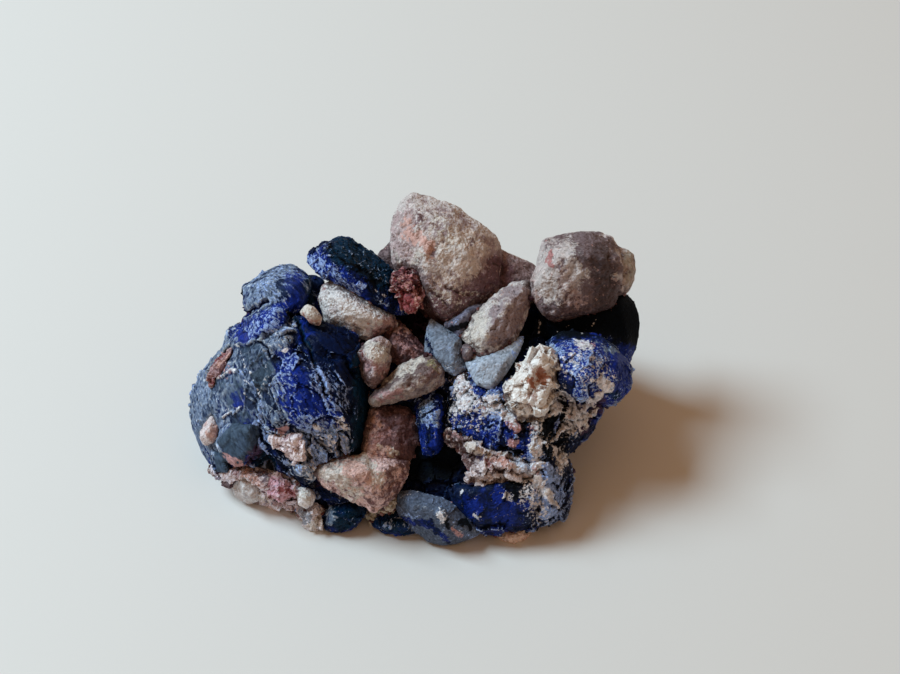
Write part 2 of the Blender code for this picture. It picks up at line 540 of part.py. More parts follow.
        crystal((5.5, 12.4, 2.6), (8.0, 4.6, 4.4), (-20, -25, 15)),
        crystal((17.0, 10.4, 7.5), (9.0, 6.0, 5.0), (30, 50, -60)),
        crystal((13.5, 10.5, 4.0), (10.0, 6.0, 5.0), (10, -20, 50)),
        crystal((18.0, 4.5, 4.5), (7.0, 5.0, 4.5), (0, 35, 80)),
        # the mottled face, and the dark side of it
        lump(
            rim=[(3.8, -2.4, 4.8), (3.6, -6.2, 5.2), (5.2, -7.8, 5.8), (8.2, -9.2, 6.6), (12.0, -9.9, 7.0),
                 (14.4, -9.4, 6.6), (15.6, -5.0, 6.2), (14.8, -1.2, 6.0), (9.5, -0.8, 5.6),
                 (5.4, -0.2, 4.6)],
            face=[(6.0, -2.4, 6.2), (9.6, -2.6, 7.2), (13.6, -2.6, 7.2), (9.5, -6.4, 7.8),
                  (13.2, -8.6, 7.8), (5.4, -6.0, 6.6)],
            depth=5.0,
        ),
        lump(
            rim=[(14.2, -2.4, 5.6), (19.6, -2.6, 3.4), (20.6, -4.3, 2.4), (19.4, -6.8, 2.0),
                 (18.2, -7.8, 2.0), (17.4, -9.2, 2.2), (13.8, -9.8, 5.6)],
            face=[(16.6, -4.6, 5.2), (15.6, -8.4, 5.0)],
            depth=6.0,
        ),
        # the blue shelf at the foot, and the streaky column beside it
        lump(
            rim=[(3.6, -12.9, 4.8), (5.6, -12.5, 5.6), (10.2, -11.4, 6.4), (13.2, -11.8, 6.4),
                 (14.0, -14.0, 5.8), (13.4, -16.9, 4.0), (9.5, -17.9, 4.0), (6.5, -17.6, 4.2),
                 (4.4, -15.4, 4.6)],
            face=[(6.2, -13.2, 7.0), (9.9, -12.2, 7.4), (12.6, -12.6, 7.4), (12.4, -15.6, 6.6),
                  (7.2, -16.0, 6.4)],
            depth=5.0,
        ),
        lump(
            rim=[(12.6, -9.4, 6.6), (14.4, -9.2, 5.8), (16.9, -9.6, 3.0), (17.3, -11.0, 2.6),
                 (17.2, -13.4, 2.2), (16.9, -15.0, 2.0), (16.3, -16.1, 2.2), (15.2, -16.7, 2.8),
                 (13.2, -16.9, 3.8), (12.4, -13.0, 6.4)],
            face=[(13.6, -10.6, 7.6), (14.8, -13.0, 6.4), (14.2, -15.8, 5.4), (16.2, -11.4, 4.8)],
            depth=5.0,
        ),
        # the round knob, and the dark crystals behind it
        lump(
            rim=[(14.8, 3.2, 3.5), (16.0, 4.0, 2.8), (17.6, 4.1, 2.5), (20.6, 3.6, 2.2), (22.0, 2.5, 2.2),
                 (23.4, 0.9, 2.0), (23.8, -0.3, 2.2), (23.7, -1.6, 2.5), (22.8, -3.0, 3.0),
                 (21.3, -3.4, 4.0)],
            face=[(16.0, 1.8, 7.0), (19.0, 1.8, 7.2), (22.0, 0.8, 5.4), (18.5, -0.5, 8.0),
                  (21.5, -1.5, 6.4), (15.7, -1.1, 7.3), (18.0, -2.8, 6.6)],
            hidden=[(14.5, 5.5, 10), (21, 5, 9), (20, -1, 7), (14.6, -1, 7.6)],
        ),
        lump(
            rim=[(23.7, 8.5, -1.5), (24.4, 7.8, -2.5), (25.1, 6.1, -3.0), (25.1, 4.8, -3.0),
                 (24.9, 3.2, -3.0), (24.4, 1.6, -3.0), (23.8, 0.5, -2.5)],
            face=[(22.5, 7.8, 0.2), (23.4, 4.0, -0.2), (20.0, 6.8, 0.8), (14.0, 6.0, 0.0), (13.0, 4.0, 0.5),
                  (20.0, 3.5, 1.0)],
            hidden=[(23.5, 10, 9), (22, 5, 6), (12, 13.6, 12), (16, 13.4, 12.5), (13, 7, 6), (20, 11.5, 6)],
        ),
    ),
}


def finish_of(name):
    """The material of this finish, made once."""
    if name in bpy.data.materials:
        return bpy.data.materials[name]
    colour, roughness = FINISHES[name]
    material = bpy.data.materials.new(name)
    material.use_nodes = True
    shader = material.node_tree.nodes["Principled BSDF"]
    shader.inputs["Base Color"].default_value = (*colour, 1)
    shader.inputs["Roughness"].default_value = roughness
    shader.inputs["Metallic"].default_value = 0.0
    return material


def wrap(corners):
    """A mesh in the making: the convex hull of the corners, with nothing left inside it."""
    shape = bmesh.new()
    for corner in corners:
        shape.verts.new(corner)
    bmesh.ops.convex_hull(shape, input=shape.verts)
    spare = [vert for vert in shape.verts if not vert.link_faces]
    bmesh.ops.delete(shape, geom=spare, context="VERTS")
    bmesh.ops.recalc_face_normals(shape, faces=shape.faces)
    return shape


def hull_mesh(name, corners, middle, grown=0.0):
    """The convex hull of the corners about its middle, with its faces moved out by grown millimetres."""
    shape = wrap([(Vector(corner) - middle) * MM for corner in corners])
    if grown:
        shape.normal_update()
        moved = [vert.co + vert.normal * vert.calc_shell_factor() * grown * MM for vert in shape.verts]
        shape.free()
        shape = wrap(moved)
    mesh = bpy.data.meshes.new(name)
    shape.to_mesh(mesh)
    shape.free()
    return mesh


def placed(name, mesh, middle, stand):
    """An object with this mesh, its origin at its middle on the show face."""
    made = bpy.data.objects.new(name, mesh)
    bpy.context.scene.collection.objects.link(made)
    made.parent = stand
    made.location = middle * MM
    return made


def helper(name, corners, stand, grown=0.0):
    """A hidden lump that joins or cuts a piece."""
    middle = sum((Vector(corner) for corner in corners), Vector()) / len(corners)
    made = placed(name, hull_mesh(name, corners, middle, grown), middle, stand)
    made.hide_render = True
    made.display_type = "WIRE"
    return made


def combine(piece, operation, other):
    """Joins or cuts the piece by the other object."""
    step = piece.modifiers.new(other.name, "BOOLEAN")
    step.operation = operation
    step.solver = "EXACT"
    step.object = other


def meet(corners, others):
    """Whether the boxes of two lumps come within the gap of each other."""
    return all(
        min(c[axis] for c in corners) - FIT_GAP < max(c[axis] for c in others)
        and min(c[axis] for c in others) - FIT_GAP < max(c[axis] for c in corners)
        for axis in range(3)
    )


def keep_main_body(piece):
    """Replaces the piece's mesh by its evaluated one, without the crumbs that the fitting cuts off."""
    graph = bpy.context.evaluated_depsgraph_get()
    mesh = bpy.data.meshes.new_from_object(piece.evaluated_get(graph))
    shape = bmesh.new()
    shape.from_mesh(mesh)
    bodies = []
    left = set(shape.verts)
    while left:
        body, edge = set(), [left.pop()]
        while edge:
            vert = edge.pop()
            body.add(vert)
            near = {link.other_vert(vert) for link in vert.link_edges} & left
            left -= near
            edge.extend(near)
        bodies.append(body)
    main = max(bodies, key=len)
    crumbs = [vert for body in bodies if body is not main for vert in body]
    bmesh.ops.delete(shape, geom=crumbs, context="VERTS")
    shape.to_mesh(mesh)
    shape.free()
    piece.modifiers.clear()
    piece.data = mesh


def build():
    """Builds every piece on the leaning show face."""
    for old in list(bpy.data.objects):
        bpy.data.objects.remove(old)
    stand = bpy.data.objects.new("show_face", None)
    bpy.context.scene.collection.objects.link(stand)
    stand.location = Vector(SHOW_MIDDLE) * MM
    stand.rotation_euler = SHOW_FACE.to_euler()

    pieces, cutters = [], []
    for name, (finish, *lumps) in PIECES.items():
        first, *more = lumps
        middle = sum((Vector(corner) for corner in first), Vector()) / len(first)
        piece = placed(name, hull_mesh(name, first, middle), middle, stand)
        piece.data.materials.append(finish_of(finish))
        for number, corners in enumerate(more):
            combine(piece, "UNION", helper(f"{name}_join{number}", corners, stand))
        for cutter, taken in cutters:
            if any(meet(corners, taken) for corners in lumps):
                combine(piece, "DIFFERENCE", cutter)
        cutters += [
            (helper(f"{name}_seat{number}", corners, stand, FIT_GAP), corners)
            for number, corners in enumerate(lumps)
        ]
        pieces.append(piece)

    bpy.context.view_layer.update()
    for piece in pieces:
        keep_main_body(piece)
    for shape in [shape for shape in bpy.data.objects if shape.hide_render]:
        bpy.data.objects.remove(shape)


build()
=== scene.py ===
import math

import bmesh
import bpy
import numpy as np
from mathutils.bvhtree import BVHTree
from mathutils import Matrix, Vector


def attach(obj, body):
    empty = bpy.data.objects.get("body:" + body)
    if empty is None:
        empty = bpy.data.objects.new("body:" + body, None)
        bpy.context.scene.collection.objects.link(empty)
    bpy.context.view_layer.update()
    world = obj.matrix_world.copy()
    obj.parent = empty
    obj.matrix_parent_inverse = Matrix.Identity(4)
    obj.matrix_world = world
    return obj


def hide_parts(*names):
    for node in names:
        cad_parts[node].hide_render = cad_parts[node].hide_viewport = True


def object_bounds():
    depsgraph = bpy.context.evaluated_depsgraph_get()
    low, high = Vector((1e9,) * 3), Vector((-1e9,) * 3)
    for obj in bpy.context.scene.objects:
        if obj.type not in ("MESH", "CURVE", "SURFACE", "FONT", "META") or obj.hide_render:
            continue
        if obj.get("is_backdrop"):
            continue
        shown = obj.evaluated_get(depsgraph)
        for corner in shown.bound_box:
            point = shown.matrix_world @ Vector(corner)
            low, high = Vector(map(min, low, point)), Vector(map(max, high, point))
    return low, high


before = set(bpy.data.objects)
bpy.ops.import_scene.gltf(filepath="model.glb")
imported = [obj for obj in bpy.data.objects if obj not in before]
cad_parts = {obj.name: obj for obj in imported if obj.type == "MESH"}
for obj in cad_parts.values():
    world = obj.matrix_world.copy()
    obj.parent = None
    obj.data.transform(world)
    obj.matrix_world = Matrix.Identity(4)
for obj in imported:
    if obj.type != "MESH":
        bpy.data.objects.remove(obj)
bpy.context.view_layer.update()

# ---------------------------------------------------------------- peak stone
# The tallest piece: a grain of pale, sugary sandstone that stands out of the
# top and runs down in a low saddle to the right. Iron has stained it salmon
# down the left flank, and it turns darker brown towards its foot. The host
# rock held it in place.
MM = 0.001
# Marks are placed on the show face, a plane that leans back: its middle and the eye before it, in mm.
FACE_LEAN = math.radians(45)
FACE_MIDDLE = np.array((0.05, 1.37, 11.0))
FACE_EYE = np.array((3.89, 3.67, 222.2))
EDGE_ON, FACE_ON = -0.1, 0.15


def rows_of(mesh, what="co"):
    """The places of a mesh's points, or their normals, one row each."""
    values = np.zeros(len(mesh.vertices) * 3)
    mesh.vertices.foreach_get(what, values)
    return values.reshape(-1, 3)


def on_show_face(mesh):
    """Where each point shows on the slanted show face, in mm, and how much it faces the eye."""
    s, c = math.sin(FACE_LEAN), math.cos(FACE_LEAN)
    turn = np.array(((1, 0, 0), (0, c, s), (0, -s, c)))
    places, normals = (rows_of(mesh) / MM - FACE_MIDDLE) @ turn.T, rows_of(mesh, "normal") @ turn.T
    sight = FACE_EYE - places
    seen = FACE_EYE[:2] - sight[:, :2] * (FACE_EYE[2] / sight[:, 2:])
    sight /= np.linalg.norm(sight, axis=1)[:, None]
    return seen, np.clip((np.sum(sight * normals, axis=1) - EDGE_ON) / (FACE_ON - EDGE_ON), 0, 1)


TINY = 1e-9


def gap_to(seen, line):
    """Distance in mm from every point to a line on the show face, below 0 inside a closed one."""
    nearest = np.full(len(seen), np.inf)
    inside = np.zeros(len(seen), bool)
    for start, end in zip(line, line[1:]):
        start, end = np.array(start, float), np.array(end, float)
        run = end - start
        along = np.clip((seen - start) @ run / max(run @ run, TINY), 0, 1)
        nearest = np.minimum(nearest, np.linalg.norm(seen - start - along[:, None] * run, axis=1))
        crosses = (start[1] > seen[:, 1]) != (end[1] > seen[:, 1])
        if abs(run[1]) > TINY:
            inside ^= crosses & (seen[:, 0] < start[0] + (seen[:, 1] - start[1]) / run[1] * run[0])
    return np.where(inside, -nearest, nearest) if line[0] == line[-1] else nearest


BODY_CORNERS = {node: [tuple(v.co) for v in body.data.vertices] for node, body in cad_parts.items()}
BODY_FACES = {node: [tuple(f.vertices) for f in body.data.polygons]
              for node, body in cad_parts.items()}
CONTACT_REACH = 3.0 * MM


def contact_with_others(mesh, own):
    """1 where a point touches another piece, 0 further off than the reach."""
    corners, faces = [], []
    for node in BODY_CORNERS:
        if node != own:
            faces += [[corner + len(corners) for corner in face] for face in BODY_FACES[node]]
            corners += BODY_CORNERS[node]
    others = BVHTree.FromPolygons(corners, faces)
    gaps = (others.find_nearest(v.co, CONTACT_REACH)[3] for v in mesh.vertices)
    return np.array([0.0 if gap is None else 1 - gap / CONTACT_REACH for gap in gaps])


DRIFT_SEED, DRIFT_GAIN = 40, 1.6
DRIFT_WAVES = ((0.35, 1.2), (0.7, 0.9), (1.3, 0.6))


def drift(mesh, kind):
    """A slow wave through the rock, about -1 to 1, different for each kind of tint."""
    places = rows_of(mesh) / MM
    turns = np.random.default_rng(kind + DRIFT_SEED).normal(size=(3, 3, 3))
    wave = sum(np.prod(np.sin(places @ turn * pace + kind), axis=1) * share
               for turn, (pace, share) in zip(turns, DRIFT_WAVES))
    return np.clip(DRIFT_GAIN * wave, -1, 1)


# Out of sight the tints swing with the drift. Open lines wander in ripples, and marks have soft edges.
SHAPE_KINDS = ("contact", "raise", "calm", "seams", "studs")
HIDDEN_SWING, HIDDEN_CHALK_SWING = 0.75, 0.5
WANDER, RIPPLES, RIPPLE_STARTS = 0.25, ((2.1, 1.7), (4.3, 5.1), (9.7, 8.3)), (0.4, 1.9)
RIPPLE_SHARES = np.array((0.6, 0.35, 0.2))[:, None]
SOFT_LEAST, SOFT_SHARE = 0.2, 0.9


def marked(piece, plain, marks):
    """Writes on every point how much it has of each tint or height: plain values all over, then marks.

    A mark is one or more of kind, strength and width in mm, and then the points of its line on the
    show face. A line that comes back to its start is filled.
    """
    mesh = piece.data
    seen, facing = on_show_face(mesh)
    waves = np.sin(seen[:, None, ::-1] * RIPPLES + RIPPLE_STARTS)
    strayed = seen + WANDER * np.sum(waves * RIPPLE_SHARES, axis=1)
    amounts = {kind: np.full(len(seen), float(value)) for kind, value in plain.items()}
    amounts["contact"] = contact_with_others(mesh, piece.name.removesuffix("_natural"))
    for mark in marks:
        line = [part for part in mark if isinstance(part, tuple)]
        values = mark[:-len(line)]
        gap = gap_to(seen if line[0] == line[-1] else strayed, line)
        for kind, strength, width in zip(values[::3], values[1::3], values[2::3]):
            cover = np.clip(0.5 + (width - gap) / (SOFT_LEAST + SOFT_SHARE * width), 0, 1) * facing
            amounts[kind] = amounts.get(kind, 0.0) + strength * cover
    for at, kind in enumerate(amounts):
        if kind not in SHAPE_KINDS:
            swing = HIDDEN_CHALK_SWING if kind == "chalk" else HIDDEN_SWING
            amounts[kind] += (1 - facing) * swing * drift(mesh, at)
        mesh.attributes.new(kind, "FLOAT", "POINT").data.foreach_set("value", amounts[kind])


def in_scene(name, data):
    """A new object in the scene."""
    made = bpy.data.objects.new(name, data)
    bpy.context.scene.collection.objects.link(made)
    return made


def settle(piece):
    """Turns a piece with modifiers into a plain mesh."""
    ready = bpy.context.evaluated_depsgraph_get()
    mesh = bpy.data.meshes.new_from_object(
        piece.evaluated_get(ready), preserve_all_data_layers=True, depsgraph=ready)
    piece.modifiers.clear()
    piece.data = mesh
    mesh.name = piece.name


SAME_PLACE = 1e-7


def fine_net(node, cell):
    """A copy of a CAD piece, its loose triangles merged, as an even net of squares of cell mm."""
    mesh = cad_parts[node].data.copy()
    shape = bmesh.new()
    shape.from_mesh(mesh)
    bmesh.ops.remove_doubles(shape, verts=shape.verts, dist=SAME_PLACE)
    shape.to_mesh(mesh)
    shape.free()
    mesh.materials.clear()
    piece = in_scene(node + "_natural", mesh)
    net = piece.modifiers.new("Even net", "REMESH")
    net.mode, net.voxel_size = "VOXEL", cell * MM
    settle(piece)
    return piece


def new_tree(name, kind, inputs, outputs):
    """An empty node tree with named inputs and outputs, and its two end nodes."""
    tree = bpy.data.node_groups.new(name, kind)
    for label, socket, value in inputs:
        length = socket == "Length"
        made = tree.interface.new_socket(
            label, in_out="INPUT", socket_type="NodeSocket" + ("Float" if length else socket))
        if length:
            made.subtype, value = "DISTANCE", value * MM
        if value is not None:
            made.default_value = value
    for label, socket in outputs:
        tree.interface.new_socket(label, in_out="OUTPUT", socket_type="NodeSocket" + socket)
    return tree, tree.nodes.new("NodeGroupInput").outputs, tree.nodes.new("NodeGroupOutput").inputs


def skin_tree(name, inputs):
    """An empty tree that takes a surface and its finish, and gives the surface back."""
    ends = [("Geometry", "Geometry", None), ("Finish", "Material", None)]
    return new_tree(name, "GeometryNodeTree", ends + inputs, [("Geometry", "Geometry")])


def step(tree, kind, feeds=None, **settings):
    """Adds one node with its options and inputs, and returns its first output in use."""
    node = tree.nodes.new(kind)
    for key, value in settings.items():
        setattr(node, key, value)
    for key, value in (feeds or {}).items():
        socket = node.inputs[key] if isinstance(key, int) else next(
            s for s in node.inputs if s.name == key and s.enabled)
        if isinstance(value, bpy.types.NodeSocket):
            tree.links.new(value, socket)
        else:
            socket.default_value = value
    return next((s for s in node.outputs if s.enabled), None)


def maths(tree, rule, a, b=0.0, c=0.0, clamp=False):
    """One sum on plain numbers."""
    return step(tree, "ShaderNodeMath", {0: a, 1: b, 2: c}, operation=rule, use_clamp=clamp)


def vectors(tree, rule, a, b=(0, 0, 0)):
    """One sum on places or directions."""
    made = step(tree, "ShaderNodeVectorMath", {0: a, 1: b}, operation=rule)
    return made.node.outputs["Value"] if rule == "DOT_PRODUCT" else made


def weighed(tree, start, *parts):
    """A start plus each part, which is a value and its weight."""
    for value, weight in parts:
        start = maths(tree, "MULTIPLY_ADD", value, weight, start)
    return start


def scaled(tree, vector, factor):
    """A vector made longer or shorter."""
    return step(tree, "ShaderNodeVectorMath", {0: vector, "Scale": factor}, operation="SCALE")


def softly(tree, value, low, high):
    """Rises softly from 0 at low to 1 at high."""
    return step(tree, "ShaderNodeMapRange", {
        "Value": value, "From Min": low, "From Max": high, "To Min": 0.0, "To Max": 1.0},
        interpolation_type="SMOOTHSTEP")


def lumps(tree, place, size, detail=2.0, harsh=0.5):
    """Cloudy noise from -1 to 1 whose lumps are about size across."""
    made = step(tree, "ShaderNodeTexNoise", {
        "Vector": place, "Scale": maths(tree, "DIVIDE", 1.0, size), "Detail": detail, "Roughness": harsh})
    return maths(tree, "MULTIPLY_ADD", made, 2.0, -1.0)


def cells_in(tree, place, size, feature="F1"):
    """The outputs of a node that splits space into uneven cells about size across."""
    return step(tree, "ShaderNodeTexVoronoi", {
        "Vector": place, "Scale": maths(tree, "DIVIDE", 1.0, size)}, feature=feature).node.outputs


def here(tree):
    """The place of each point of a surface."""
    return step(tree, "GeometryNodeInputPosition")


def told(tree, name):
    """A value that was written on a surface under a name."""
    return step(tree, "GeometryNodeInputNamedAttribute", {"Name": name}, data_type="FLOAT")


def noted(tree, shape, name, value, domain="POINT"):
    """Writes a value on a surface under a name."""
    return step(tree, "GeometryNodeStoreNamedAttribute", {
        "Geometry": shape, "Name": name, "Value": value}, data_type="FLOAT", domain=domain)


def blurred(tree, rounds):
    """The place of each point after some rounds of evening out with its neighbours."""
    return step(tree, "GeometryNodeBlurAttribute", {"Value": here(tree), "Iterations": rounds},
                data_type="FLOAT_VECTOR")


def moved(tree, shape, **where):
    """Moves the points of a surface to a Position or by an Offset."""
    return step(tree, "GeometryNodeSetPosition", {"Geometry": shape, **where})


def above_table(tree, shape):
    """Lifts back up whatever has sunk into the table."""
    return moved(tree, shape, Position=vectors(tree, "MAXIMUM", here(tree), (-1, -1, 0)))


# How far each point stands out of its close and its wider surroundings, as a share of a full height.
relief_tree, given, made = new_tree(
    "Read the relief", "GeometryNodeTree", [("Geometry", "Geometry", None)], [("Geometry", "Geometry")])
shape = given["Geometry"]
for label, rounds, full in (("relief", 3, 0.03 * MM), ("bulge", 50, 0.25 * MM)):
    off = vectors(relief_tree, "SUBTRACT", here(relief_tree), blurred(relief_tree, rounds))
    lift = vectors(relief_tree, "DOT_PRODUCT", off, step(relief_tree, "GeometryNodeInputNormal"))
    shape = noted(relief_tree, shape, label, maths(relief_tree, "DIVIDE", lift, full))
relief_tree.links.new(shape, made["Geometry"])


def skin_end(tree, given, made, height):
    """Wears the surface, lifts it by a height, keeps it on the table and gives its relief and finish."""
    height = maths(tree, "ADD", height, maths(tree, "MULTIPLY", told(tree, "raise"), MM))
    height = maths(tree, "ADD", height, given["Swell"])
    lift = scaled(tree, step(tree, "GeometryNodeInputNormal"), height)
    worn = moved(tree, given["Geometry"], Position=blurred(tree, given["Wear"]))
    shape = above_table(tree, moved(tree, worn, Offset=lift))
    read = step(tree, "GeometryNodeGroup", {"Geometry": shape}, node_tree=relief_tree)
    real = step(tree, "GeometryNodeRealizeInstances", {"Geometry": read})
    done = step(tree, "GeometryNodeSetMaterial", {"Geometry": real, "Material": given["Finish"]})
    tree.links.new(done, made["Geometry"])


# The skin of every stone: broad lumps, small knobs, sand grains and pits of bent outline.
PIT_RARITY, PIT_RIM, PIT_BEND, PIT_BEND_SCALE = 0.72, 0.2, 0.8 * MM, 1400
stone_tree, given, made = skin_tree("Weathered stone", [
    ("Wear", "Int", 8), ("Swell", "Length", 0.2),
    ("Lump size", "Length", 2.6), ("Lump height", "Length", 0.2),
    ("Knob size", "Length", 0.8), ("Knob height", "Length", 0.1),
    ("Grain size", "Length", 0.35), ("Grain height", "Length", 0.05),
    ("Pit size", "Length", 1.1), ("Pit depth", "Length", 0.16)])
place = here(stone_tree)
height = 0.0
for label in ("Lump", "Knob", "Grain"):
    rough = lumps(stone_tree, place, given[label + " size"])
    height = weighed(stone_tree, height, (rough, given[label + " height"]))
swirl = step(stone_tree, "ShaderNodeTexNoise", {"Vector": place, "Scale": PIT_BEND_SCALE, "Detail": 2.0})
bent = step(stone_tree, "ShaderNodeVectorMath", {
    0: swirl.node.outputs["Color"], 1: (PIT_BEND,) * 3, 2: place}, operation="MULTIPLY_ADD")
cells = cells_in(stone_tree, bent, given["Pit size"])
drawn = step(stone_tree, "ShaderNodeSeparateXYZ", {"Vector": cells["Color"]})
radius = maths(stone_tree, "SUBTRACT", drawn, PIT_RARITY)
pit = softly(stone_tree, maths(stone_tree, "SUBTRACT", radius, cells["Distance"]), 0.0, PIT_RIM)
height = maths(stone_tree, "SUBTRACT", height, maths(stone_tree, "MULTIPLY", pit, given["Pit depth"]))
skin_end(stone_tree, given, made, height)


def skinned(piece, tree, finish, **sizes):
    """Grows a skin tree over a piece; sizes are in mm under the tree's own input names."""
    skin = piece.modifiers.new(tree.name, "NODES")
    skin.node_group = tree
    for socket in tree.interface.items_tree:
        if socket.item_type == "SOCKET" and socket.in_out == "INPUT":
            key = socket.name.replace(" ", "_").lower()
            if key in sizes:
                length = getattr(socket, "subtype", "") == "DISTANCE"
                skin[socket.identifier] = sizes[key] * MM if length else sizes[key]
            elif socket.name == "Finish":
                skin[socket.identifier] = finish
    settle(piece)


# Shader groups that the finishes share: ragged patches, single grains and tilted facets.
fleck_group, given, made = new_tree(
    "Broken patches", "ShaderNodeTree",
    [("Place", "Vector", None), ("Amount", "Float", 0.5), ("Size", "Length", 0.5),
     ("Raggedness", "Float", 0.5), ("Edge", "Float", 0.08)], [("Mask", "Float")])
clouds = lumps(fleck_group, given["Place"], given["Size"], detail=5.0, harsh=0.65)
ragged = maths(fleck_group, "MULTIPLY_ADD", clouds, given["Raggedness"], given["Amount"])
low, high = (maths(fleck_group, rule, 0.5, given["Edge"]) for rule in ("SUBTRACT", "ADD"))
fleck_group.links.new(softly(fleck_group, ragged, low, high), made["Mask"])

grain_group, given, made = new_tree(
    "Grain tints", "ShaderNodeTree",
    [("Place", "Vector", None), ("Color", "Color", (0.5, 0.5, 0.5, 1)), ("Size", "Length", 0.4),
     ("Contrast", "Float", 0.3)],
    [("Color", "Color"), ("Height", "Float")])
cells = cells_in(grain_group, given["Place"], given["Size"])
cell_tint = step(grain_group, "ShaderNodeSeparateColor", {"Color": cells["Color"]})
cloud = lumps(grain_group, given["Place"], given["Size"], detail=3.0)
swing = maths(grain_group, "ADD", cell_tint, cloud)
factor = maths(
    grain_group, "MULTIPLY_ADD", maths(grain_group, "SUBTRACT", swing, 0.5), given["Contrast"], 1.0)
grain_group.links.new(scaled(grain_group, given["Color"], factor), made["Color"])
grain_group.links.new(maths(grain_group, "SUBTRACT", swing, cells["Distance"]), made["Height"])

facet_group, given, made = new_tree(
    "Tilted facets", "ShaderNodeTree",
    [("Place", "Vector", None), ("Size", "Length", 0.4), ("Tilt", "Float", 0.4)], [("Normal", "Vector")])
cells = cells_in(facet_group, given["Place"], given["Size"])
lean = vectors(facet_group, "SUBTRACT", cells["Color"], (0.5, 0.5, 0.5))
upright = step(facet_group, "ShaderNodeNewGeometry").node.outputs["Normal"]
tipped = vectors(facet_group, "ADD", upright, scaled(facet_group, lean, given["Tilt"]))
facet_group.links.new(vectors(facet_group, "NORMALIZE", tipped), made["Normal"])


def group(tree, which, **feeds):
    """Places one of the shared groups in a material and returns its outputs."""
    feeds = {label.capitalize(): value for label, value in feeds.items()}
    return step(tree, "ShaderNodeGroup", feeds, node_tree=which).node.outputs


def coat(tree, place, amount, size, ragged, edge):
    """A mask of ragged patches about size mm across, 1 where the amount is well over a half."""
    return group(tree, fleck_group, place=place, amount=amount, size=size * MM,
                 raggedness=ragged, edge=edge)["Mask"]


def mixed(tree, mask, below, above, cover=None):
    """Lays one colour over another where a mask is 1, thinner if cover says so."""
    below, above = (c if isinstance(c, bpy.types.NodeSocket) else (*c, 1) for c in (below, above))
    if cover is not None:
        mask = maths(tree, "MULTIPLY", mask, cover)
    return step(tree, "ShaderNodeMix", {"Factor": mask, "A": below, "B": above}, data_type="RGBA")


def felt(tree, name):
    """A value written on the surface, as a material reads it."""
    node = step(tree, "ShaderNodeAttribute", attribute_name=name, attribute_type="GEOMETRY").node
    return node.outputs["Fac"]


def new_finish(name):
    """An empty material, its tree, and the place of each point in it."""
    material = bpy.data.materials.new(name)
    material.use_nodes = True
    tree = material.node_tree
    return material, tree, step(tree, "ShaderNodeTexCoord").node.outputs["Object"]


def finish_ends(tree, colour, rough, grains, facets, depth, gloss=0.3):
    """Feeds the colour, roughness, facets and a bump of depth mm into the material's own shader."""
    shader = tree.nodes["Principled BSDF"]
    shader.inputs["Specular IOR Level"].default_value = gloss
    tree.links.new(colour, shader.inputs["Base Color"])
    tree.links.new(rough, shader.inputs["Roughness"])
    bump = step(tree, "ShaderNodeBump", {"Height": grains["Height"], "Distance": depth * MM,
                                         "Strength": 1.0, "Normal": facets["Normal"]})
    tree.links.new(bump, shader.inputs["Normal"])


# Tints of painted shade where pieces touch and in pits, and of painted highlights on bumps.
CONTACT_SHADE_TINT, PAINTED_PIT_SHADE, PAINTED_GLINT = (0.07, 0.04, 0.045), (0.035, 0.018, 0.018), (0.78, 0.72, 0.70)
STAIN_COVER, PIT_SHADE_COVER, GLINT_COVER = 0.85, 0.75, 0.5


# Its pit tint is painted shade for dips and its glint tint a painted highlight for bumps.
def stone_finish(name, light, dark, stains, patch=1.6, grain=0.35, contrast=0.3, pit=PAINTED_PIT_SHADE,
                 glint=PAINTED_GLINT, contact_shade_cover=0.85):
    """Granular stone: two tints in patches, stains, grains, painted shade at contacts and in pits,
    painted highlights on bumps.
    """
    material, tree, place = new_finish(name)
    relief, dulled = felt(tree, "relief"), felt(tree, "dark")
    # The dark tint reaches further into broad hollows, as painted shade.
    dull = weighed(tree, 0.42, (dulled, 1.0), (felt(tree, "bulge"), -0.18))
    patches = coat(tree, place, dull, size=patch, ragged=1.3, edge=0.2)
    colour = mixed(tree, patches, light, dark)
    for kind, tint in stains.items():
        stain = coat(tree, place, felt(tree, kind), size=0.55, ragged=1.5, edge=0.15)
        colour = mixed(tree, stain, colour, tint, STAIN_COVER)
    grains = group(tree, grain_group, place=place, color=colour, size=grain * MM, contrast=contrast)
    # Painted shade: dark where the stone touches another piece.
    contact_shade = coat(tree, place, weighed(tree, -0.65, (felt(tree, "contact"), 1.6)), 0.6, 1.3, 0.25)
    colour = mixed(tree, contact_shade, grains["Color"], CONTACT_SHADE_TINT, contact_shade_cover)
    # Painted shade in small dips, where the surface lies low.
    pits = coat(tree, place, weighed(tree, 0.06, (dulled, 0.25), (relief, -0.2)), 0.5, 1.0, 0.2)
    colour = mixed(tree, pits, colour, pit, PIT_SHADE_COVER)
    # Painted highlight: pale specks on what stands out.
    specks = coat(tree, place, weighed(tree, -0.08, (relief, 0.12)), 0.4, 1.0, 0.25)
    colour = mixed(tree, specks, colour, glint, GLINT_COVER)
    rough = maths(tree, "MULTIPLY_ADD", grains["Height"], 0.12, 0.66, clamp=True)
    facets = group(tree, facet_group, place=place, size=grain * 1.2 * MM, tilt=0.55)
    finish_ends(tree, colour, rough, grains, facets, depth=0.1)
    return material


def flat_or_smooth(piece, smooth):
    """Shades every face of a piece smooth or flat."""
    piece.data.polygons.foreach_set("use_smooth", np.full(len(piece.data.polygons), smooth))


def belongs(piece, node, smooth=True):
    """The piece stands for its CAD node and rides on the specimen."""
    flat_or_smooth(piece, smooth)
    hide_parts(node)
    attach(piece, "root")


